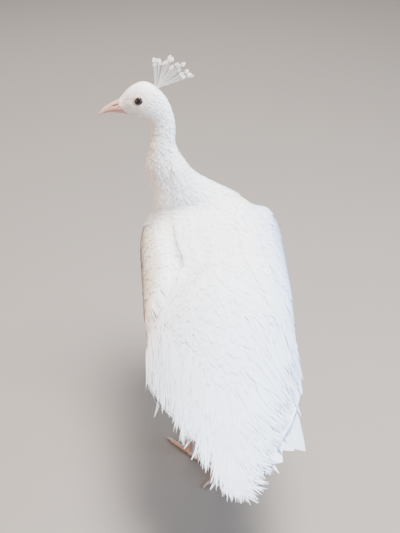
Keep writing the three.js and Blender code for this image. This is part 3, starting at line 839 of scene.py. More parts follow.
def fillCreases(mesh, rounds, last):
    # hollows between trunk, wings and train fill up, as overlapping feathers bridge them; bulges stay
    points = coordinates(mesh)
    count = len(points)
    a, b = rowsOf(mesh.edges, "vertices", 2, np.int32).T
    degree = np.maximum(np.bincount(a, minlength=count) + np.bincount(b, minlength=count), 1)[:, None]
    mesh.calc_loop_triangles()
    corners = rowsOf(mesh.loop_triangles, "vertices", 3, np.int32).T
    y, z = drawn(points)[:, 1:].T
    top = between(y, guideShape["fillTop"])
    share = (smoothStep(*guideShape["fillFront"], y) * smoothStep(*guideShape["fillFloor"], z)
             * (1 - smoothStep(top - 12, top + 13, z)) * (1 - smoothStep(last - 25, last, y)))[:, None]

    def means():
        return (gathered(a, points[b], count) + gathered(b, points[a], count)) / degree
    for step in range(rounds):
        if step % 10 == 0:
            f0, f1, f2 = corners
            flat = np.cross(points[f1] - points[f0], points[f2] - points[f0])
            normals = unit(sum(gathered(f, flat, count) for f in corners))
        ahead = np.sum((means() - points) * normals, 1, keepdims=True)
        points = points + normals * np.maximum(ahead, 0) * share * guideShape["fillRate"]
    for step in range(guideShape["softening"]):
        points = points + (means() - points) * 0.5 * share
    return points


def makeNeckGuide():
    neck = guideShape["neck"]
    rings = loftRings(np.linspace(neck["start"], lastStation, neck["rings"]), neck["sink"],
                      neck["around"])
    return storeNormals(shellObject("neckGuide", [rings]))


def makeThighGuide():
    shells = [thighRings(legShape[key], guideShape["thighSink"], 40, 20) for key in ("left", "right")]
    return storeNormals(shellObject("thighGuide", shells))


def sheetGuide(name, surface, flip=False):
    # surface takes across from -1 to 1 and y in millimetres
    sheet = guideShape["sheet"]
    y, across = np.meshgrid(np.linspace(sheet["from"], sheet["to"], sheet["rows"]),
                            np.linspace(-sheet["reach"], sheet["reach"], sheet["columns"]), indexing="ij")
    faces = gridFaces(*y.shape)
    points = placed(surface(across, y).reshape(-1, 3))
    return storeNormals(meshObject(name, points, [face[::-1] for face in faces] if flip else faces))


guides = [makeHullGuide(), makeThighGuide(), makeNeckGuide(), sheetGuide("trainGuide", overTrain),
          sheetGuide("trainUnderGuide", underTrain, flip=True), sheetGuide("tailGuide", tailPoint)]
print("guides are made:", len(guides[0].data.vertices), "points on the body")


# ---- feather shapes: thin closed vanes, 1 wide and 1 long; height runs from 0 at the root to 1 at the tip
featherShapes = {
    # half width at even steps from root to tip, how far the tip is rounded, columns
    "round": {"half": [0.2, 0.42, 0.5, 0.47, 0.27], "bow": 0.16, "columns": 2},
    "roundSplit": {"half": [0.2, 0.42, 0.5, 0.45, 0.24], "bow": 0.14, "columns": 4, "notch": 0.09},
    "fine": {"half": [0.22, 0.48, 0.4, 0.16], "bow": 0.1, "columns": 2},
    "contour": {"half": [0.16, 0.36, 0.48, 0.5, 0.3], "bow": 0.13, "columns": 4},
    "contourSplit": {"half": [0.16, 0.36, 0.48, 0.49, 0.28], "bow": 0.13, "columns": 4, "notch": 0.07},
    "blade": {"half": [0.3, 0.44, 0.49, 0.5, 0.49, 0.46, 0.36, 0.12], "bow": 0.05, "columns": 4},
    "rectrix": {"half": [0.3, 0.4, 0.46, 0.5, 0.5, 0.5, 0.49, 0.4], "bow": 0.02, "columns": 4},
    "lock": {"half": [0.3, 0.5, 0.42, 0.26, 0.05], "bow": 0.02, "columns": 2},
    "lockLeft": {"half": [0.26, 0.46, 0.4, 0.22, 0.03], "bow": 0.02, "columns": 2, "bend": 1.1},
    "lockRight": {"half": [0.26, 0.46, 0.4, 0.22, 0.03], "bow": 0.02, "columns": 2, "bend": -1.1},
    "fan": {"half": [0.12, 0.34, 0.5, 0.46, 0.3], "bow": 0.1, "columns": 6, "notch": 0.2},
}
vaneShape = {"thickness": 0.16, "camber": 0.22, "camberEnd": 1.05, "liftCurve": 1.3, "bowCurve": 1.5,
             "notchFrom": 0.55}
featherBin = bpy.data.collections.new("featherShapes")
shapeOrder = {name: number for number, name in enumerate(sorted(featherShapes))}


def vanePoint(v, across, half, bow, tooth, bend, top):
    notch = float(tooth * smoothStep(vaneShape["notchFrom"], 1, v))
    y = v - bow * across**2 * v ** vaneShape["bowCurve"] - notch
    along = min(v * vaneShape["camberEnd"], 1)
    camber = vaneShape["camber"] * (1 - across**2) * math.sin(math.pi * along)
    depth = 0 if top else vaneShape["thickness"]
    return across * half + bend * v * v, y, v ** vaneShape["liftCurve"] + camber - depth


def makeFeatherShape(name, half, bow, columns, notch=0, bend=0.0):
    # the upper and the lower face share their rim, which stays sharp
    rows = len(half) - 1
    points, number, rim = [], {}, set()
    for top in (1, 0):
        for i in range(rows + 1):
            for j, across in enumerate(np.linspace(-1, 1, columns + 1)):
                if i in (0, rows) or j in (0, columns):
                    if not top:
                        number[i, j, 0] = number[i, j, 1]
                        continue
                    rim.add(len(points))
                number[i, j, top] = len(points)
                points.append(vanePoint(i / rows, across, half[i], bow, notch * (j % 2), bend, top))
    faces = []
    for top in (1, 0):
        for i in range(rows):
            for j in range(columns):
                face = [number[i, j, top], number[i, j + 1, top], number[i + 1, j + 1, top],
                        number[i + 1, j, top]]
                faces.append(face if top else face[::-1])
    mesh = bpy.data.meshes.new(name)
    mesh.from_pydata(points, [], faces)
    mesh.shade_smooth()
    storeAt(mesh, "vaneAt", "FLOAT_VECTOR", points)
    sharp = mesh.attributes.new("sharp_edge", "BOOLEAN", "EDGE")
    sharp.data.foreach_set("value", [set(edge.vertices) <= rim for edge in mesh.edges])
    featherBin.objects.link(bpy.data.objects.new(name, mesh))


for shapeName, shapeValues in featherShapes.items():
    makeFeatherShape(shapeName, **shapeValues)


# ---- the tree that sets feathers on their roots and lays them along a guide
layInputs = {"Geometry": "Geometry", "Feathers": "Collection", "Guide": "Object", "Material": "Material",
             "Patch Size": "Float"}
patchSize = 0.003


def makeFeatherTree():
    group = bpy.data.node_groups.new("layFeathers", "GeometryNodeTree")
    group.interface.new_socket("Geometry", in_out="OUTPUT", socket_type="NodeSocketGeometry")
    for label, kind in layInputs.items():
        group.interface.new_socket(label, in_out="INPUT", socket_type="NodeSocket" + kind)
    tree = Wiring(group)
    source = tree.node("NodeGroupInput").outputs

    def named(label, kind="FLOAT_VECTOR"):
        return tree.node("GeometryNodeInputNamedAttribute", {"Name": label}, data_type=kind).outputs[0]

    def stored(geometry, label, value):
        return tree.node("GeometryNodeStoreNamedAttribute",
                         {"Geometry": geometry, "Name": label, "Value": value}, data_type="FLOAT2",
                         domain="CORNER").outputs[0]
    shapes = tree.node("GeometryNodeCollectionInfo",
                       {"Collection": source["Feathers"], "Separate Children": True,
                        "Reset Children": True})
    turn = tree.node("FunctionNodeAxesToRotation", {0: named("facing"), 1: named("lie")},
                     primary_axis="Z", secondary_axis="Y")
    rooted = tree.node("GeometryNodeInstanceOnPoints", {
        "Points": source["Geometry"], "Instance": shapes.outputs[0], "Pick Instance": True,
        "Instance Index": named("variant", "INT"), "Rotation": turn.outputs[0], "Scale": named("size")})
    real = tree.node("GeometryNodeRealizeInstances", {"Geometry": rooted.outputs[0]})
    # each point drops onto the guide and stands over it by its height in the vane
    guide = tree.node("GeometryNodeObjectInfo", {"Object": source["Guide"]}, transform_space="RELATIVE")
    where = tree.node("GeometryNodeInputPosition").outputs[0]
    ground, facing = [tree.node("GeometryNodeSampleNearestSurface", {
        "Mesh": guide.outputs["Geometry"], "Value": value, "Sample Position": where},
        data_type="FLOAT_VECTOR").outputs[0] for value in (where, named("smoothNormal"))]
    local, size = tree.parts(named("vaneAt")), tree.parts(named("size"))
    height = tree.math("MULTIPLY_ADD", local[2], size[2], named("rise", "FLOAT"))
    height = tree.math("MULTIPLY_ADD", local[0], named("tilt", "FLOAT"), height)
    laid = tree.vector("ADD", ground, tree.vector("SCALE", tree.vector("NORMALIZE", facing), height))
    feathers = tree.node("GeometryNodeSetPosition",
                         {"Geometry": real.outputs[0], "Position": laid}).outputs[0]
    # the baking map gives each feather a patch at its root's place; the vane map is the feather's own
    middle = tree.vector("SUBTRACT", named("vaneAt"), (0, 0.5, 0))
    patch = tree.vector("ADD", named("rootUV"), tree.vector("SCALE", middle, source["Patch Size"]))
    feathers = stored(feathers, "OFBake", patch)
    feathers = stored(feathers, "vane", tree.vector("MULTIPLY", named("vaneAt"), named("size")))
    dressed = tree.node("GeometryNodeSetMaterial", {"Geometry": feathers, "Material": source["Material"]})
    tree.node("NodeGroupOutput", {0: dressed.outputs[0]})
    return group


featherTree = makeFeatherTree()


def layFeathers(name, roots, guide, material):
    # roots: place, facing, lie, size in millimetres (width, length, lift), rise, chart, shape, tint, and
    # perhaps tilt, how much higher one edge of the vane is than the other
    count = len(roots["place"])
    mesh = bpy.data.meshes.new(name + "Roots")
    mesh.from_pydata([tuple(p) for p in roots["place"]], [], [])
    vectors = {"facing": roots["facing"], "lie": roots["lie"], "size": roots["size"] * mm,
               "rootUV": chartOf(roots["chart"])}
    numbers = {"rise": roots["rise"] * mm, "tilt": roots.get("tilt", np.zeros(count)) * mm,
               "tint": roots["tint"]}
    for kind, values in (("FLOAT_VECTOR", vectors), ("FLOAT", numbers),
                         ("INT", {"variant": roots["shape"]})):
        for label in values:
            storeAt(mesh, label, kind, values[label])
    obj = objectFrom(name + "Roots", mesh)
    modifier = obj.modifiers.new("lay", "NODES")
    modifier.node_group = featherTree
    sockets = {item.name: item.identifier for item in featherTree.interface.items_tree
               if item.in_out == "INPUT"}
    for label, value in (("Feathers", featherBin), ("Guide", guide), ("Material", material),
                         ("Patch Size", patchSize)):
        modifier[sockets[label]] = value
    applyModifiers(obj)
    obj.name = name
    obj.data.name = name
    for label in ("facing", "lie", "size", "rise", "tilt", "rootUV", "variant", "vaneAt"):
        if label in obj.data.attributes:
            obj.data.attributes.remove(obj.data.attributes[label])
    print(name, count, "feathers,", sum(len(p.vertices) - 2 for p in obj.data.polygons), "triangles")
    return obj


def chartOf(chart):
    # the roots' places on the skin's own unwrap, fitted to the map
    chart = np.asarray(chart, float)
    low, high = chart.min(0), chart.max(0)
    fitted = 0.01 + 0.98 * (chart - low) / np.maximum(high - low, 1e-9)
    return np.column_stack([fitted, np.zeros(len(chart))])


# ---- where feathers grow and which way they lie
bodyTag, wingTags, thighTags, trainTag = 0, {1: 1, -1: 2}, {"left": 3, "right": 4}, 5
wingLength = 420


def grid(first, second):
    return np.meshgrid(first, second, indexing="ij")


# how many samples along and across each surface, and the reach of the wing's and the train's
fieldGrid = {"body": (178, 96), "wing": (106, 26), "wingReach": (-99, 326), "train": (49, 91),
             "trainReach": (100, 460), "ahead": 2, "bodyAhead": 0.1}


def makeField():
    # samples of every surface: place, lie, chart place, tag, and where they are on the body, wing or train
    samples = []

    def add(tag, place, ahead, chart, spot):
        samples.append((place.reshape(-1, 3), unit(ahead - place).reshape(-1, 3),
                        np.stack(chart, -1).reshape(-1, 2), np.full(place.size // 3, tag),
                        np.stack(spot, -1).reshape(-1, 2)))
    ahead, bodyAhead = fieldGrid["ahead"], fieldGrid["bodyAhead"]
    stations, around = fieldGrid["body"]
    station, angle = grid(np.linspace(bodyAhead, lastStation, stations),
                          np.linspace(0, 2 * np.pi, around, endpoint=False))
    add(bodyTag, bodyPoint(station, angle), bodyPoint(station - bodyAhead, angle),
        ((angle / (2 * np.pi) + 0.75) % 1, station / lastStation), (station, angle))
    rows, columns = fieldGrid["wing"]
    y, share = grid(np.linspace(*fieldGrid["wingReach"], rows), np.linspace(0, 1, columns))
    for side, tag in wingTags.items():
        add(tag, wingAt(y, share, side), wingAt(y + ahead, share, side), (share, y / wingLength),
            (y, share))
    for key, tag in thighTags.items():
        rings = thighRings(legShape[key], 0)
        count, around = len(rings) - 1, rings.shape[1]
        step, turn = grid(np.arange(count) / count, np.arange(around) / around)
        add(tag, rings[:-1], rings[1:], (turn, step), (step, turn))
    columns, rows = fieldGrid["train"]
    across, y = grid(np.linspace(-1, 1, columns), np.linspace(*fieldGrid["trainReach"], rows))
    inside = y < endOf("end", across)
    across, y = across[inside], y[inside]
    add(trainTag, trainPoint(across, y), trainPoint(across, y + ahead),
        (across, y / trainShape["length"]), (across, y))
    return [np.concatenate(part) for part in zip(*samples)]


def treeOf(points):
    tree = KDTree(len(points))
    for number, point in enumerate(points):
        tree.insert(point, number)
    tree.balance()
    return tree


field = makeField()
fieldTree = treeOf(placed(field[0]))


def fieldAt(points):
    index = np.array([fieldTree.find(p)[1] for p in points])
    return [part[index] for part in field[1:]]


def flattened(directions, facing):
    # directions turned into the surface that faces this way
    return unit(directions - facing * np.sum(directions * facing, 1, keepdims=True))


def shapesFor(names, random, count):
    numbers = np.array([shapeOrder[name] for name in names])
    return numbers[random.integers(0, len(numbers), count)]


class Ground:
    # a guide, with what the field says at each of its points
    def __init__(self, obj):
        self.obj = obj
        obj.data.calc_loop_triangles()
        self.points = coordinates(obj.data)
        self.local = drawn(self.points)
        self.faces = rowsOf(obj.data.loop_triangles, "vertices", 3, np.int32)
        self.normals = rowsOf(obj.data.attributes["smoothNormal"].data, "vector", 3).astype(float)
        self.lie, self.chart, self.tag, self.spot = fieldAt(self.points)
        self.bvh = BVHTree.FromPolygons([tuple(p) for p in self.points],
                                        [tuple(f) for f in self.faces.tolist()])

    def scatter(self, spacing, seed):
        # spacing: millimetres at each of the ground's points, or 0 where nothing grows
        random = np.random.default_rng(seed)
        gap = spacing[self.faces].min(1) * mm
        corners = self.points[self.faces]
        first, second = corners[:, 1] - corners[:, 0], corners[:, 2] - corners[:, 0]
        area = np.linalg.norm(np.cross(first, second), axis=1) / 2
        want = np.where(gap > 0, area / np.maximum(gap, 1e-6) ** 2, 0)
        chosen = random.choice(len(want), int(want.sum() * 5), p=want / want.sum())
        a, b = random.random((2, len(chosen), 1))
        root = np.sqrt(a)
        shares = np.concatenate([1 - root, root * (1 - b), root * b], 1)[..., None]
        place = (corners[chosen] * shares).sum(1)
        normal = unit((self.normals[self.faces[chosen]] * shares).sum(1))
        tree, taken, kept = treeOf(place), np.zeros(len(place), bool), []
        for number in range(len(place)):
            if taken[number]:
                continue
            kept.append(number)
            for _, other, _ in tree.find_range(place[number], gap[chosen[number]]):
                taken[other] = True
        place, facing, gap = place[kept], normal[kept], gap[chosen[kept]] / mm
        lie, chart, tag, spot = fieldAt(place)
        return {"place": place, "facing": facing, "lie": flattened(lie, facing), "chart": chart,
                "tag": tag, "spot": spot, "gap": gap, "random": random, "tint": random.random(len(place))}

    def onto(self, points):
        # the nearest places on the guide with their normals
        hits = [self.bvh.find_nearest(p) for p in points]
        place = np.array([tuple(hit[0]) for hit in hits])
        shares = self.normals[self.faces[[hit[2] for hit in hits]]].mean(1)
        return place, unit(shares)


grounds = [Ground(guide) for guide in guides]
hullGround, thighGround, neckGround, trainGround, underGround, tailGround = grounds
print("the lie of the feathers is known")


# ---- the scattered coats
coatLook = {
    # width and length to the gap between roots, lift in millimetres by that gap, how far the lie strays in
    # degrees, unevenness of size, height over the guide, and the shapes to draw from
    "headFeathers": {"seed": 11, "width": 1.8, "length": 3.8, "lift": [(1.1, 0.6), (2.2, 1.15)],
                     "splay": 11, "uneven": 0.24, "rise": -0.15,
                     "shapes": ["fine", "fine", "round", "lock"]},
    "neckFeathers": {"seed": 12, "width": 1.8, "length": 4.2,
                     "liftAlong": [(10, 1.3), (13, 1.5), (16, 1.2)], "splay": 10, "uneven": 0.22,
                     "rise": -0.2, "shapes": ["round", "fine", "lock", "roundSplit"]},
    "mantleFeathers": {"seed": 21, "width": 2.2, "length": [(30, 4.2), (110, 6)],
                       "lift": [(3.2, 1.5), (5.8, 1.8)], "splay": 4, "rise": -0.4,
                       "shapes": ["contour", "contourSplit"]},
    "breastFeathers": {"seed": 22, "width": 2.0, "length": 4.3, "lift": [(3.2, 1.8), (5.6, 2.6)],
                       "splay": 8, "rise": -0.4, "shapes": ["contour", "contourSplit", "roundSplit"]},
    "wingCovertsLeft": {"seed": 31, "width": 2.2, "length": 4.0, "lift": [(3.4, 1.5), (6.4, 2.2)],
                        "splay": 4, "rise": -0.4, "shapes": ["contour", "contour", "contourSplit"]},
    "thighFeathers": {"seed": 41, "width": 2.0, "length": 4.4, "lift": [(1.9, 1.0), (4.4, 1.9)],
                      "splay": 6, "rise": -0.3,
                      "shapes": ["contourSplit", "roundSplit", "contour", "lock"]},
    "trainCoverts": {"seed": 61, "width": 2.1, "length": 5.2, "lift": [(0, 2.1)], "splay": 5,
                     "rise": -0.3, "shapes": ["contour", "contourSplit", "roundSplit", "lock"]},
}
coatLook["wingCovertsRight"] = {**coatLook["wingCovertsLeft"], "seed": 29}
# the random part of each feather's height, as a share of its lift
looseness = 0.25


def growCoat(name, ground, gap, material=plumage, steer=None, settle=None):
    # gap: millimetres between roots at each of the ground's points, or 0 where nothing grows
    look = coatLook[name]
    roots = ground.scatter(gap, look["seed"])
    if steer:
        steer(roots)
    random, count, gap = roots["random"], len(roots["place"]), roots["gap"]
    length = look["length"]
    if isinstance(length, list):
        length = between(drawn(roots["place"])[:, 1], length)
    if "lift" in look:
        lift = between(gap, look["lift"])
    else:
        lift = between(roots["spot"][:, 0], look["liftAlong"])
    vary = 1 + look.get("uneven", 0.12) * random.standard_normal((count, 3)).clip(-2, 2)
    roots["size"] = np.column_stack([gap * look["width"], gap * length, lift]) * vary
    turn = np.radians(look["splay"]) * random.standard_normal((count, 1)).clip(-2, 2)
    sideways = np.cross(roots["facing"], roots["lie"])
    roots["lie"] = unit(roots["lie"] * np.cos(turn) + sideways * np.sin(turn))
    roots["shape"] = shapesFor(look["shapes"], random, count)
    roots["rise"] = look["rise"] + random.random(count) * looseness * lift
    if settle:
        settle(roots)
    return layFeathers(name, roots, ground.obj, material)


# ---- head and neck
headCoat = {"join": 10.4, "start": 16.0, "end": 21.75,
            "gap": [(16, 2.2), (17.5, 2.0), (19, 1.7), (21, 1.25), (22, 1.1)],
            "neckGap": [(10, 4.0), (12.5, 3.3), (14.5, 2.7), (16, 2.2)], "bareRing": 9.3,
            "crescent": 16.5, "brow": 11.2, "lores": 23, "loresHeight": 4.2}


def makeHeadCoat():
    station = neckGround.spot[:, 0]
    forward, up = neckGround.local[:, 0] - eyeSpot["forward"], neckGround.local[:, 2] - eyeSpot["up"]
    distance = np.hypot(forward, up)
    gap = np.minimum(between(station, headCoat["gap"]), 1.1 + 0.07 * np.maximum(distance - 8, 0))
    # bare skin: a ring round the eye, a crescent below it, a brow, and a streak to the bill
    below = (up < -0.4 * distance) & (forward > -8) & (distance < headCoat["crescent"])
    above = (up > 0.55 * distance) & (distance < headCoat["brow"])
    before = ((forward > 0) & (forward < headCoat["lores"])
              & (np.abs(up + 0.1 * forward) < headCoat["loresHeight"] - 0.1 * forward))
    bare = (distance < headCoat["bareRing"]) | below | above | before
    gap = np.where((station < headCoat["start"]) | (station > headCoat["end"]) | bare, 0, gap)
    return growCoat("headFeathers", neckGround, gap)


def makeNeckCoat():
    station = neckGround.spot[:, 0]
    onNeck = (station >= headCoat["join"]) & (station < headCoat["start"])
    return growCoat("neckFeathers", neckGround,
                    np.where(onNeck, between(station, headCoat["neckGap"]), 0))


# ---- trunk, wings and thighs
coatEdges = {
    "wingStart": -72, "shoulderLine": 365, "smallCoverts": 84, "bendGap": 4,
    "mantleGap": [(2, 5.8), (6, 5.0), (9, 4.2), (10.4, 3.2)], "mantleRamp": 18, "rampGap": 5.6,
    "breastGap": [(1, 5.6), (5, 5.6), (8, 4.6), (10.4, 3.2)],
    "wingGap": [(-72, 3.6), (-60, 3.8), (0, 4.9), (80, 6.4)],
    "wingRise": [(10, 0), (50, 0.5), (100, 1.3)],
    "thighGap": [(0.2, 4.4), (0.6, 3.4), (1, 1.9)], "hipGap": 4.4,
    # feathers close in front of a wing: reach, growth in width and length, and rise
    "bridge": {"reach": 24, "from": (-40, -60), "grow": (0.7, 0.9), "rise": 0.8},
}
onWings = np.isin(hullGround.tag, list(wingTags.values()))
onTrunk = hullGround.tag == bodyTag


def bodyGap(first, upper, gaps):
    # the body's upper or lower half from a station to the neck, with the wings' front ends
    station, angle = hullGround.spot.T
    mine = onTrunk & (station >= first) & (station < headCoat["join"]) & ((np.sin(angle) > 0) == upper)
    above = hullGround.points[:, 2] - toFrame[2] > coatEdges["shoulderLine"] * mm
    bend = onWings & (station < coatEdges["wingStart"]) & (above == upper)
    return np.where(mine, between(station, gaps), np.where(bend, coatEdges["bendGap"], 0))


def bridge(roots):
    # feathers of the body that grow close in front of a wing are long and cover the crease
    settings = coatEdges["bridge"]
    tree = treeOf(hullGround.points[onWings][::3])
    away = np.array([tree.find(p)[2] for p in roots["place"]]) / mm
    ahead = smoothStep(*settings["from"], drawn(roots["place"])[:, 1]) * (roots["tag"] == bodyTag)
    near = ahead * smoothStep(settings["reach"], settings["reach"] * 0.5, away)
    roots["size"][:, :2] *= 1 + near[:, None] * settings["grow"]
    roots["rise"] += settings["rise"] * near


def makeMantleCoat():
    across, y = hullGround.spot.T
    ramp = (hullGround.tag == trainTag) & (y < trainFront(across) + coatEdges["mantleRamp"])
    gap = bodyGap(0, True, coatEdges["mantleGap"])
    return growCoat("mantleFeathers", hullGround, np.where(ramp, coatEdges["rampGap"], gap),
                    settle=bridge)


def makeBreastCoat():
    return growCoat("breastFeathers", hullGround, bodyGap(0.2, False, coatEdges["breastGap"]),
                    settle=bridge)


def raiseHindCoverts(roots):
    roots["rise"] += between(roots["spot"][:, 0], coatEdges["wingRise"])


def makeWingCoat(side, name):
    y = hullGround.spot[:, 0]
    behind = (y >= coatEdges["wingStart"]) & (y < coatEdges["smallCoverts"])
    mine = (hullGround.tag == wingTags[side]) & behind
    return growCoat(name, hullGround, np.where(mine, between(y, coatEdges["wingGap"]), 0),
                    settle=raiseHindCoverts)


def makeThighCoat():
    onThigh = np.isin(thighGround.tag, list(thighTags.values()))
    gap = np.where(onThigh, between(thighGround.spot[:, 0], coatEdges["thighGap"]), coatEdges["hipGap"])
    return growCoat("thighFeathers", thighGround, gap, downyPlumage)


# ---- feathers placed one by one
def rootsOf(place, facing, aims, sizes, rises, charts, shape, tint, **more):
    return {"place": np.array(place), "facing": facing, "lie": flattened(np.array(aims), facing),
            "size": np.array(sizes), "rise": np.array(rises), "chart": np.array(charts), "shape": shape,
            "tint": tint, **more}


# long feathers of the shoulder that lie over the folded wing's upper edge
scapularRows = {"inset": (1, 9, 18, 28), "step": 7, "from": -52, "to": 156, "width": 14, "length": 36,
                "lift": 1.9, "grow": [(-50, 0.6), (40, 1)], "rise": (0.2, 0.25), "above": 560}


def makeScapulars():
    random = np.random.default_rng(47)
    places, facings, aims, sizes, rises, charts = rows = [], [], [], [], [], []
    for side in (1, -1):
        for row, inset in enumerate(scapularRows["inset"]):
            for y in np.arange(scapularRows["from"], scapularRows["to"], scapularRows["step"]):
                y = y + random.uniform(-3, 3) + 4 * (row % 2)
                x = side * (foldLine(y, side) - inset + random.uniform(-2, 2))
                above = Vector(placed((x, y, scapularRows["above"])))
                spot, facing, _, _ = hullGround.bvh.ray_cast(above, Vector((0, 0, -1)))
                slope = (foldLine(y + 22, side) - foldLine(y - 4, side)) / 26
                splay = (0.12 + 0.85 * max(slope, 0)) * (1 - 0.12 * row)
                aside = side * splay + random.uniform(-0.08, 0.08)
                grow = between(y, scapularRows["grow"]) * random.uniform(0.9, 1.1)
                size = (scapularRows["width"] * grow, scapularRows["length"] * grow, scapularRows["lift"])
                rise = scapularRows["rise"][0] + scapularRows["rise"][1] * row
                for values, value in zip(rows, (tuple(spot), tuple(facing), (aside, 1, -0.2), size, rise,
                                                ((x + 130) / 260, y / trainShape["length"]))):
                    values.append(value)
    tint = random.random(len(places))
    shape = np.where(random.random(len(places)) < 0.5, shapeOrder["contour"], shapeOrder["contourSplit"])
    roots = rootsOf(places, unit(np.array(facings)), aims, sizes, rises, charts, shape, tint)
    return layFeathers("scapularFeathers", roots, hullGround.obj, plumage)


# rows of long feathers on the folded wing: root y and end y of the lowest and the highest, share of the
# wing's height from and to, width, lift, how many, and how uneven the ends are
wingRows = {
    "primaries": {"root": (96, 120), "end": (322, 250), "share": (0.04, 0.5), "width": 21, "lift": 1.5,
                  "count": 9, "uneven": 4},
    "secondaries": {"root": (64, 74), "end": (236, 222), "share": (0.08, 0.95), "width": 22, "lift": 1.9,
                    "count": 13, "uneven": 5},
    "greaterCoverts": {"root": (26, 36), "end": (140, 150), "share": (0.04, 0.95), "width": 19,
                       "lift": 2.5, "count": 14, "uneven": 7},
}
bladeSet = {"rise": -0.6, "step": 0.03, "tilt": 1.0, "long": 80}


def makeWingBlades(side, name):
    random = np.random.default_rng(50 + side)
    places, aims, sizes, rises, charts = [], [], [], [], []
    for row in wingRows.values():
        for number in range(row["count"]):
            height, start, end = [low + (high - low) * (number / (row["count"] - 1))
                                  for low, high in (row["share"], row["root"], row["end"])]
            start += random.uniform(-3, 3)
            end += random.uniform(-1, 1) * row["uneven"]
            root, tip = (wingAt(y, height, side) for y in (start, end))
            places.append(placed(root))
            aims.append(tip - root)
            sizes.append((row["width"] * random.uniform(0.92, 1.08), np.linalg.norm(aims[-1]),
                          row["lift"]))
            rises.append(bladeSet["rise"] + bladeSet["step"] * number)
            charts.append((height, start / wingLength))
    place, facing = hullGround.onto(places)
    shape = np.where(np.array(sizes)[:, 1] > bladeSet["long"], shapeOrder["blade"], shapeOrder["contour"])
    roots = rootsOf(place, facing, aims, sizes, rises, charts, shape, random.random(len(place)),
                    tilt=np.full(len(place), side * bladeSet["tilt"]))
    return layFeathers(name, roots, hullGround.obj, plumage)


# ---- train and tail
trainCoat = {"gap": [(100, 5.2), (200, 6.0), (300, 6.8), (400, 7.4)], "edge": 0.97, "behind": 50,
             "spread": 0.12}


def makeTrainCoat():
    across, y = trainAcross(trainGround.points)
    inside = (y > trainFront(across)) & (y < trainTips(across) - trainCoat["behind"])
    inside = inside & (np.abs(across) < trainCoat["edge"])
    gap = np.where(inside, between(y, trainCoat["gap"]), 0)
    return growCoat("trainCoverts", trainGround, gap, steer=spreadOut)


def spreadOut(roots):
    # the feathers fan out from the middle of the train
    spread = trainAcross(roots["place"])[0]
    roots["lie"][:, 0] += trainCoat["spread"] * spread * (1 - np.abs(spread))
    roots["lie"] = unit(roots["lie"])


def trainAcross(points):
    x, y, _ = drawn(points).T
    return x / trainHalf(trainRow(y)), y


def trainTips(across):
    # where the loose feathers' tips reach
    notch = trainShape["notch"]
    across = np.clip(across, -1, 1)
    aside = (across - notch["at"]) / notch["width"]
    return endOf("end", across) - notch["depth"] * np.exp(-(aside**2))


def sheetRoots(surface, ground, across, y, length, width, lift, rise, shapes, random, fan=0.3, splay=7.0,
               lean=None):
    # feathers whose tips reach y at a place across the sheet, and lean out from straight back, in radians
    across, y = np.asarray(across, float), np.asarray(y, float)
    count = len(across)
    if lean is None:
        steer = 1 - np.abs(across).clip(0, 1) ** 3
        stray = np.radians(splay) * (0.35 + 0.65 * steer) * random.standard_normal(count).clip(-2, 2)
        lean = fan * across * steer + stray
    rootY = y - length * np.cos(lean)
    tipX = across * trainHalf(trainRow(y))
    rootAcross = np.clip((tipX - length * np.sin(lean)) / trainHalf(trainRow(rootY)), -0.98, 0.98)
    place, facing = ground.onto(placed(surface(rootAcross, rootY)))
    aims = np.column_stack([np.sin(lean), np.cos(lean), -0.35 * np.cos(lean)])
    sizes = np.column_stack([np.zeros(count) + width, np.zeros(count) + length, np.zeros(count) + lift])
    return rootsOf(place, facing, aims, sizes, np.zeros(count) + rise,
                   np.column_stack([rootAcross, rootY / trainShape["length"]]),
                   shapesFor(shapes, random, count), random.random(count))


def joined(parts):
    return {key: np.concatenate([part[key] for part in parts]) for key in parts[0]}


# loose feathers round the train's hind edge, for the left side (1) and the right side (-1)
fringeShape = {
    "sides": {1: {"fan": 0.3, "flare": 0.12, "shape": "lockLeft"},
              -1: {"fan": 1.25, "flare": 0.6, "shape": "lockRight"}},
    # spikes: how many on a side, feathers in each, reach of the tips, width, height over the sheet, flare
    "spikes": [(16, 6, (6, 24), (2.8, 4.8), (1.0, 3.4), 1),
               (24, 5, (-14, 6), (2.8, 5.0), (0.6, 3.2), 0.6),
               (30, 4, (-34, -8), (3.0, 5.6), (0.4, 2.8), 0.25),
               (34, 3, (-46, -26), (3.4, 6.6), (0.8, 3.0), 0)],
    "spikeLength": (48, 86), "spikeLift": 2.4, "flareFrom": (0.15, 0.55),
    "reachLimit": [(0, 4), (0.12, 7), (0.25, 13), (0.5, 24), (0.8, 18), (1, 8)],
    # how far behind the tips each layer ends, feathers in it, length, width, height over the sheet
    "layers": [(46, 100, 62, 7, 1.4), (54, 130, 58, 8, 2.0), (66, 130, 56, 9.5, 2.6),
               (80, 110, 54, 11, 3.0)],
    # the broad soft feathers at the very end: across, reach, lean in degrees, width, length
    "plumes": [(0.14, -2, 6, 13, 70), (0.05, 4, 0, 15, 78), (-0.05, 5, -8, 15, 80),
               (-0.15, 3, -17, 14, 76), (-0.26, -2, -28, 13, 70), (0.09, -16, 3, 18, 66),
               (-0.1, -15, -13, 18, 66)],
}


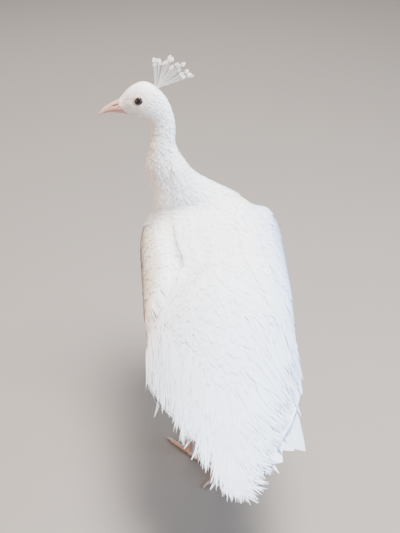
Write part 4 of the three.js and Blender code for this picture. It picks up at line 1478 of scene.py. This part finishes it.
def fringeSpikes(side, random, spikes, locks, reaches, widths, rises, flareShare):
    half, count = fringeShape["sides"][side], spikes * locks
    centre = np.linspace(0.02, 0.98, spikes) + random.uniform(-0.4, 0.4, spikes) / spikes
    centre = side * centre.clip(0.01, 0.99)
    out = np.abs(centre)
    reach = np.minimum(random.uniform(*reaches, spikes), between(out, fringeShape["reachLimit"]))
    tips = np.repeat(trainTips(centre) + reach, locks) - random.uniform(0, 10, count)
    flare = half["flare"] * flareShare * smoothStep(*fringeShape["flareFrom"], out)
    stray = 0.1 * random.standard_normal(spikes).clip(-2, 2)
    lean = side * (half["fan"] * out * (1 - out**3) + flare) + stray
    lean = np.repeat(lean, locks)
    length = random.uniform(*fringeShape["spikeLength"], count) * (1 - 0.35 * np.abs(lean).clip(0, 1))
    width, rise = random.uniform(*widths, count), random.uniform(*rises, count)
    lean = lean + np.radians(4) * random.standard_normal(count).clip(-2, 2)
    return sheetRoots(overTrain, trainGround, np.repeat(centre, locks), tips, length, width,
                      fringeShape["spikeLift"], rise, ["lock", half["shape"]], random, lean=lean)


def fringeLayer(side, random, back, count, long, wide, rise):
    half, count = fringeShape["sides"][side], count // 2
    across = side * np.linspace(0.01, 1, count) + random.uniform(-0.02, 0.02, count)
    tips = trainTips(across) - back - 14 * random.random(count)
    length, width = long * random.uniform(0.7, 1.1, count), wide * random.uniform(0.6, 1.15, count)
    return sheetRoots(overTrain, trainGround, across, tips, length, width, 2.0,
                      rise * random.uniform(0.6, 1.2, count), ["lock", "lock", half["shape"]], random,
                      fan=half["fan"], splay=8)


def makeTrainFringe():
    random = np.random.default_rng(71)
    parts = []
    for side in fringeShape["sides"]:
        parts += [fringeSpikes(side, random, *row) for row in fringeShape["spikes"]]
        parts += [fringeLayer(side, random, *row) for row in fringeShape["layers"]]
    across, reach, lean, width, length = np.array(fringeShape["plumes"], float).T
    parts.append(sheetRoots(overTrain, trainGround, across, trainTips(across) + reach, length, width, 3.0,
                            2.6, ["fan"], random, lean=np.radians(lean)))
    return layFeathers("trainFringe", joined(parts), trainGround.obj, downyPlumage)


undertailRows = {"from": 150, "to": 450, "step": 15, "gap": 0.085, "width": 17.0, "length": 48.0,
                 "lift": 2.4, "rise": 0.2, "shapes": ["contourSplit", "lockLeft", "lockRight", "contour"]}


def makeUndertail():
    random = np.random.default_rng(81)
    parts = []
    for y in np.arange(undertailRows["from"], undertailRows["to"], undertailRows["step"]):
        across = np.arange(-0.97, 0.98, undertailRows["gap"]) + random.uniform(-0.03, 0.03, 23)
        across = across[y < endOf("end", across) - 6]
        if len(across):
            tips = y + random.uniform(-6, 6, len(across))
            parts.append(sheetRoots(underTrain, underGround, across, tips, undertailRows["length"],
                                    undertailRows["width"], undertailRows["lift"], undertailRows["rise"],
                                    undertailRows["shapes"], random))
    return layFeathers("undertailFeathers", joined(parts), underGround.obj, downyPlumage)


# place across, and how far each falls short of the tail's end
tailRow = {"across": (-0.96, -0.8, -0.6, -0.38, -0.14, 0.08, 0.28, 0.46),
           "short": (2, 6, 2, 5, 2, 6, 8, 10), "length": 150.0, "width": 44.0, "lift": 1.6, "rise": 0.4,
           "step": 0.3}


def makeTailFeathers():
    # broad square-ended feathers, which show past the train on the right
    across = np.array(tailRow["across"])
    rise = tailRow["rise"] + tailRow["step"] * np.arange(len(across))
    roots = sheetRoots(tailPoint, tailGround, across,
                       endOf("tailEnd", across) - np.array(tailRow["short"]), tailRow["length"],
                       tailRow["width"], tailRow["lift"], rise, ["rectrix"], np.random.default_rng(91),
                       fan=0.22, splay=1)
    return finishPiece(layFeathers("tailFeathers", roots, tailGround.obj, plumage), "plumage", "tail")


trainBed = {"columns": 44, "rows": 40, "edge": 0.97, "start": 4, "short": [(0.3, 46), (0.8, 28)],
            "below": 3.4, "thickness": [(96, 20), (400, 3.4)], "thinning": (6, 0.12), "underCoat": 1.6}


def makeTrainBed():
    # the soft down between the train's upper and lower feathers
    across = np.linspace(-trainBed["edge"], trainBed["edge"], trainBed["columns"])
    slope, least = trainBed["thinning"]
    thin = np.minimum(1, slope * (1 - np.abs(across)) + least)
    front = trainFront(across) + trainBed["start"]
    rings = []
    for i in range(trainBed["rows"]):
        share = i / (trainBed["rows"] - 1)
        y = front + (endOf("end", across) - between(np.abs(across), trainBed["short"]) - front) * share
        thick = between(y, trainBed["thickness"]) - trainBed["underCoat"]
        lower = trainPoint(across, y, trainBed["below"] + thick * thin)
        rings.append(np.concatenate([trainPoint(across, y, trainBed["below"]), lower[::-1]]))
    return finishPiece(shellObject("trainDown", [rings], downyPlumage), "plumage", "train")


coats = [makeHeadCoat(), makeNeckCoat(), makeMantleCoat(), makeBreastCoat(),
         makeWingCoat(1, "wingCovertsLeft"), makeWingCoat(-1, "wingCovertsRight"), makeScapulars(),
         makeThighCoat(), makeWingBlades(1, "wingFeathersLeft"), makeWingBlades(-1, "wingFeathersRight"),
         makeTrainCoat(), makeTrainFringe(), makeUndertail()]
for coat in coats:
    finishPiece(coat, "plumage")
makeTailFeathers()
makeTrainBed()
print("the coat is laid")


# ---- bill
billShape = {
    # x, height of the upper or lower edge, half width
    "upper": [(134, 641.2, 7.8), (141, 638.8, 7.2), (146, 636.6, 6.6), (151, 634.3, 6.0),
              (156, 631.7, 5.4), (161, 628.6, 4.7), (165, 626.1, 4.1), (169, 622.8, 3.4),
              (172, 619.6, 2.8), (175, 615.6, 1.9), (176, 613.6, 1.0)],
    "lower": [(131, 613, 7.8), (138, 614.4, 7.0), (144, 615.3, 6.2), (150, 616.1, 5.3), (155, 616.4, 4.5),
              (160, 616.2, 3.6), (164, 615.6, 2.8), (167, 614.9, 1.9), (168.5, 614.5, 1.1)],
    # the gape's shade is the width of the painted shade along it
    "gape": {"height": 622.6, "drop": 10, "from": 150, "over": 26, "curve": 1.7, "gap": 0.45,
             "shade": 0.55},
    "nostril": {"at": 149.8, "up": 629.2, "long": 5.4, "tall": 1.3, "deep": 2.2, "slope": -0.34,
                "rim": 0.42},
    "sides": 64, "steps": 100,
}


def gapeHeight(x):
    # the line along which the mandibles meet: nearly level, bending down to the hooked tip
    gape = billShape["gape"]
    beyond = np.maximum((x - gape["from"]) / gape["over"], 0)
    return gape["height"] - gape["drop"] * beyond ** gape["curve"]


def billRings(rows, upper):
    columns = smoothColumns(rows, 0, 1, 2)
    turn = 2 * np.pi * (np.arange(billShape["sides"]) + 0.5) / billShape["sides"]
    sine, flat = np.sin(turn), np.abs(np.cos(turn))
    rings = []
    for at in np.linspace(0, len(rows) - 1, billShape["steps"]):
        x, edge, half = (float(column(at)) for column in columns)
        gape = float(gapeHeight(x))
        if upper:
            # a rounded ridge above, sides that bulge gently, and a sharp overhanging edge below
            z = gape + (edge - gape) * np.maximum(sine, 0) ** 0.9
            z = z + (sine < 0) * (0.35 * (1 - flat) - 0.55 * flat ** 8)
        else:
            top = gape - billShape["gape"]["gap"]
            z = top + (edge - top) * np.maximum(-sine, 0) ** 0.7 - (sine >= 0) * 0.3 * (1 - flat)
        aside = half * signedPower(np.cos(turn), 0.88 if upper else 0.85)
        rings.append(np.column_stack([np.full_like(z, x), headPlane + aside, z]))
    return np.array(rings)


def carveNostril(rings):
    # a slit on each side under a soft swollen rim
    hole = billShape["nostril"]
    x, y, z = np.moveaxis(rings, -1, 0)
    along = (x - hole["at"]) / hole["long"]
    height = z - hole["up"] - hole["slope"] * (x - hole["at"])
    inside = np.exp(-(along**2) ** 1.5 * 1.4) * np.exp(-((height / hole["tall"]) ** 2) ** 1.3)
    hood = np.exp(-(along / 1.25) ** 2) * np.exp(-(((height - 1.9) / 1.3) ** 2))
    swell = hole["rim"] * hood - hole["deep"] * inside
    aside = y - headPlane
    out = np.abs(aside)
    rings[..., 1] += np.sign(aside) * swell * smoothStep(1.5, 3.5, out)
    return inside * (out > 2)


def makeBill(name, part):
    rings = billRings(billShape[part], part == "upper")
    # painted shade: dark along the gape where the mandibles meet, and in the nostrils
    shade = 0.8 * np.exp(-((rings[..., 2] - gapeHeight(rings[..., 0])) / billShape["gape"]["shade"]) ** 2)
    if part == "upper":
        shade = np.maximum(shade, 0.9 * carveNostril(rings))
    bill = shellObject(name, [rings], billHorn)
    storeAt(bill.data, "shade", "FLOAT", np.append(shade.ravel(), [0, 0]))
    finishPiece(bill, "bill", "bill_" + part)


# ---- eyes and lids
eyeShape = {"rows": 40, "around": 64, "pole": 0.02, "bulge": 0.35, "bulgeReach": 3.9, "edge": 0.86,
            "fall": 0.32}
lidShape = {
    # distance from the eye's axis, and height above the eyeball's surface, round the lid's section
    "section": [(6.35, 0.12), (6.5, 0.7), (6.95, 1.1), (7.4, 0.85), (7.8, 1.1), (8.3, 0.8), (8.8, 0.9),
                (9.4, 0.1), (9.9, -1.4), (8.1, -1.6), (6.95, -0.9)],
    "rings": 44, "around": 96, "longer": 0.05, "heavier": 0.35, "folds": 9, "foldDepth": 0.09,
}


def eyeRing(side, reach, turn, out):
    # points round the eye's axis, at a reach from it and at a distance out from the head's mid plane
    return np.column_stack([eyeSpot["forward"] + reach * np.cos(turn),
                            headPlane + side * (out + 0 * turn), eyeSpot["up"] + reach * np.sin(turn)])


def eyeSurface(distance):
    # how far the eyeball reaches out at a distance from its axis; it falls away gently past its edge
    radius = eyeSpot["radius"]
    edge = radius * eyeShape["edge"]
    ball = np.sqrt(radius**2 - np.minimum(distance, edge) ** 2)
    return eyeSpot["aside"] + ball - eyeShape["fall"] * np.maximum(distance - edge, 0)


def makeEye(side, name, node):
    rings = []
    for tilt in np.linspace(eyeShape["pole"], math.pi - eyeShape["pole"], eyeShape["rows"]):
        distance, out = eyeSpot["radius"] * math.sin(tilt), eyeSpot["radius"] * math.cos(tilt)
        cornea = eyeShape["bulge"] * math.exp(-(distance / eyeShape["bulgeReach"]) ** 4) if out > 0 else 0
        rings.append(eyeRing(side, distance, turns(eyeShape["around"]), eyeSpot["aside"] + out + cornea))
    finishPiece(shellObject(name, [rings], eyeGlass), "eye", node)


def makeLids(side, name):
    turn = turns(lidShape["around"])
    section = smoothColumn(lidShape["section"] + lidShape["section"][:1])(
        np.linspace(0, len(lidShape["section"]), lidShape["rings"] + 1)[:-1])
    rings = []
    for distance, height in section:
        reach = distance * (1 + lidShape["longer"] * np.cos(2 * turn) * (9.8 - distance) / 4)
        upper = (lidShape["heavier"] * np.maximum(np.sin(turn), 0)
                 * math.exp(-((distance - 6.9) / 1.3) ** 2))
        crease = (lidShape["foldDepth"] * np.sin(lidShape["folds"] * turn + distance)
                  * math.exp(-((distance - 8.0) / 1.2) ** 2))
        rings.append(eyeRing(side, reach, turn, eyeSurface(reach) + height + upper + crease))
    faces = gridFaces(lidShape["rings"], lidShape["around"], around=True, along=True)
    finishPiece(outward(meshObject(name, placed(np.concatenate(rings)), faces, lidSkin)), "leg_skin")


# ---- legs, feet and claws
legDetail = {
    # share of the way up to the knee (above 0) or down to the foot (below 0), and what the radius gains
    "shin": [(0.14, 0.4), (0.05, 1.7), (0, 2.4), (-0.08, 1.4), (-0.3, 0), (-0.7, -0.3), (-0.92, 0.3),
             (-1, 1.2)],
    "shinSides": 48, "shinSteps": 22, "scutes": (5.4, 0.42), "toeSides": 28, "toeSteps": 9,
    "toeScutes": (3.1, 0.3),
    "toeStart": 4, "toeRoot": 8.6, "toeShares": (0.12, 0.8), "padEvery": 13, "toeTaper": 0.27,
    "hub": {"size": (7.6, 8.6, 7.2), "height": 6.8, "around": 40, "rings": 24},
    "floor": 0.05, "clawFloor": 0.02,
    # a claw's length, its places from root to tip (share of the length, height), radii and flattening
    "claw": {"length": 13, "path": [(-1, 3.6), (0, 4.3), (0.35, 4.5), (0.7, 3.1), (1, 0.75)],
             "radii": [2.0, 2.4, 2.05, 1.5, 0.5], "sides": 24, "steps": 9, "flatten": 1.12},
}


def scaled(rings, every, lift):
    # overlapping plates: each swells towards its lower edge and then steps back
    centres = rings.mean(1)
    run = np.concatenate([[0], np.cumsum(np.linalg.norm(np.diff(centres, axis=0), axis=1))])
    phase = (run / every) % 1
    swell = lift * np.where(phase < 0.86, phase / 0.86, (1 - phase) / 0.14)
    away = rings - centres[:, None]
    length = np.linalg.norm(away, axis=2, keepdims=True)
    return centres[:, None] + away * (1 + swell[:, None, None] / np.maximum(length, 0.5))


def toePlace(leg, toe, share, height):
    angle, length, _ = toe
    turn = math.radians(leg["heading"] + leg["side"] * angle)
    distance = legDetail["toeStart"] + length * share
    x, y, _ = leg["foot"]
    return (x + distance * math.sin(turn), y - distance * math.cos(turn), height)


def toeRings(leg, toe):
    thick = legShape["toeRadius"] * toe[2] - 0.25
    path, radii = [(*leg["foot"][:2], legDetail["toeRoot"])], [thick * 1.12]
    pads = max(2, round(toe[1] / legDetail["padEvery"]))
    start, reach = legDetail["toeShares"]
    for number in range(2 * pads + 1):
        share = start + reach * number / (2 * pads)
        size = thick * (1.06 if number % 2 else 0.9) * (1 - legDetail["toeTaper"] * share)
        path.append(toePlace(leg, toe, share, size * 0.94))
        radii.append(size)
    return scaled(taperedTube(path, radii, legDetail["toeSides"], legDetail["toeSteps"]),
                  *legDetail["toeScutes"])


def makeLeg(key):
    leg = legShape[key]
    knee, ankle, foot = (np.array(leg[k], float) for k in ("knee", "ankle", "foot"))
    path = [ankle + ((knee if share > 0 else foot) - ankle) * abs(share)
            for share, _ in legDetail["shin"]]
    radii = [legShape["shinRadius"] + more for _, more in legDetail["shin"]]
    shin = taperedTube(path, radii, legDetail["shinSides"], legDetail["shinSteps"], level=(1.0, 0, 0))
    shells = [scaled(shin, *legDetail["scutes"])]
    shells += [toeRings(leg, toe) for toe in legShape["toes"].values()]
    hub = legDetail["hub"]
    turn, high = np.meshgrid(turns(hub["around"]), np.linspace(0.05, np.pi - 0.05, hub["rings"]))
    wide, deep, tall = hub["size"]
    shells.append(np.stack([leg["foot"][0] + wide * np.sin(high) * np.cos(turn),
                            leg["foot"][1] + deep * np.sin(high) * np.sin(turn),
                            hub["height"] + tall * np.cos(high)], -1))
    piece = shellObject(f"{key}Leg", shells, legSkin, legDetail["floor"])
    finishPiece(piece, "leg_skin", f"shin_{key}", f"foot_{key}")


def makeClaws(key):
    claw = legDetail["claw"]
    for name, toe in legShape["toes"].items():
        reach = claw["length"] / toe[1]
        path = [toePlace(legShape[key], toe, 0.9 + reach * share if share >= 0 else 0.84, height)
                for share, height in claw["path"]]
        rings = taperedTube(path, claw["radii"], claw["sides"], claw["steps"], claw["flatten"])
        piece = shellObject(f"{key}Claw{name.capitalize()}", [rings], clawHorn, legDetail["clawFloor"])
        finishPiece(piece, "claw", f"claw_{key}_{name}")


# ---- crest: nearly bare shafts that end in small round fans
crestShape = {"base": (84, 657), "reach": (50, 57), "short": 0.8, "count": 21, "lean": (86, 161),
              "spread": 8, "fan": 6.6, "swing": 1.2, "shaft": (0.3, 0.2), "barbs": 15, "barbWidth": 0.42,
              "hairs": 9, "hairLength": 5.5, "shades": {"shaft": 2.6, "hair": 0.6, "barb": 0.3}}


def slenderBlade(path, widths, thick):
    # a thin four-sided blade along a path, pointed at its end
    path = np.array(path, float)
    along = unit(np.gradient(path, axis=0))
    side = unit(np.cross(along, (0, 1, 0.001)))
    flat = unit(np.cross(side, along))
    widths = np.array(widths)[:, None]
    return np.stack([path + side * widths, path + flat * thick, path - side * widths,
                     path - flat * thick], 1)


def crestShaft(share, random):
    # the shaft, the hairs on it and the fan at its end, each with its shade
    low, high = crestShape["lean"]
    lean = math.radians(low + (high - low) * share + random.uniform(-1.2, 1.2))
    middle = math.sin(math.pi * min(max(share, 0.12), 0.88))
    lateral = random.uniform(-1, 1) * crestShape["spread"] * middle
    near, far = crestShape["reach"]
    reach = near + (far - near) * share
    reach *= random.uniform(0.9, 1.0) if random.random() < 0.6 else crestShape["short"]
    fan = crestShape["fan"] * random.uniform(0.85, 1.05)
    ahead = np.array([math.cos(lean), 0, math.sin(lean)])
    across = np.array([-math.sin(lean), 0, math.cos(lean)])
    aside = np.array([0, 1, 0])
    base = np.array([crestShape["base"][0] + 3 - 6 * share + random.uniform(-1, 1),
                     headPlane + lateral * 0.25, crestShape["base"][1] - 2])
    bow = random.uniform(-0.8, 1.6)

    def along(distance):
        t = distance / reach
        return (base + ahead * distance + across * bow * math.sin(math.pi * t * 0.8)
                + aside * lateral * max(t, 0) ** 1.3)
    shades = crestShape["shades"]
    shells = [(taperedTube([along(d) for d in np.linspace(-4, reach - fan * 0.55, 6)],
                           np.linspace(*crestShape["shaft"], 6), 6, 2), shades["shaft"])]
    for k in range(crestShape["hairs"]):
        start, sideways = along(reach * (0.14 + 0.07 * k)), across * (1 if k % 2 else -1)
        tip = start + ahead * crestShape["hairLength"] + sideways * 1.2 + aside * random.uniform(-1.2, 1.2)
        hair = slenderBlade([start, (start + tip) / 2 + sideways * 0.5, tip], [0.09, 0.09, 0.03], 0.08)
        shells.append((hair, shades["hair"]))
    turnOut = random.uniform(-0.6, 0.6)
    sideAxis = across * math.cos(turnOut) + aside * math.sin(turnOut)
    normal = unit(np.cross(ahead, sideAxis))
    width = crestShape["barbWidth"]
    heart = along(reach - fan)
    for k, swing in enumerate(np.linspace(-crestShape["swing"], crestShape["swing"],
                                          crestShape["barbs"])):
        way = ahead * math.cos(swing) + sideAxis * math.sin(swing)
        length = fan * (1 - 0.26 * abs(swing) ** 1.4) * random.uniform(0.86, 1.0)
        start = heart + ahead * 2.2 * (1 - abs(swing) / 1.5)
        lift = normal * (0.25 * (k % 2) + 0.5 * random.uniform(-1, 1))
        path = [start, start + way * length * 0.4 + lift * 0.6, start + way * length * 0.72 + lift,
                start + way * length * 0.9 + lift]
        shells.append((slenderBlade(path, [0.15, width, width * 0.9, 0.1], 0.14), shades["barb"]))
    return shells


def makeCrest():
    random = np.random.default_rng(101)
    shells, tints, chart = [], [], []
    for share in np.linspace(0, 1, crestShape["count"]):
        for rings, tint in crestShaft(share, random):
            count, around = rings.shape[:2]
            shells.append(rings)
            tints += [tint] * (count * around + 2)
            row = np.append(np.repeat(np.linspace(0, 1, count), around), [0, 1])
            column = np.append(np.tile(np.linspace(0, 1, around), count), [0.5, 0.5])
            chart.append(np.column_stack([0.1 + 0.8 * share + patchSize * (column - 0.5),
                                          0.5 + patchSize * (row - 0.5)]))
    crest = shellObject("crestFans", shells, crestPlumage)
    storeAt(crest.data, "tint", "FLOAT", tints)
    corners = rowsOf(crest.data.loops, "vertex_index", 1, np.int32)[:, 0]
    spots = np.concatenate(chart)[corners].astype(np.float32).ravel()
    crest.data.uv_layers.new(name="OFBake").uv.foreach_set("vector", spots)
    finishPiece(crest, "plumage", "crest")


makeBill("billUpper", "upper")
makeBill("billLower", "lower")
for side, name in ((1, "left"), (-1, "right")):
    makeEye(side, f"{name}Eye", f"eye_{name}")
    makeLids(side, f"{name}Lids")
for key in ("left", "right"):
    makeLeg(key)
    makeClaws(key)
makeCrest()
print("bill, eyes, legs and crest are made")


# ---- close
for guide in guides:
    bpy.data.objects.remove(guide)
print("all pieces are made")
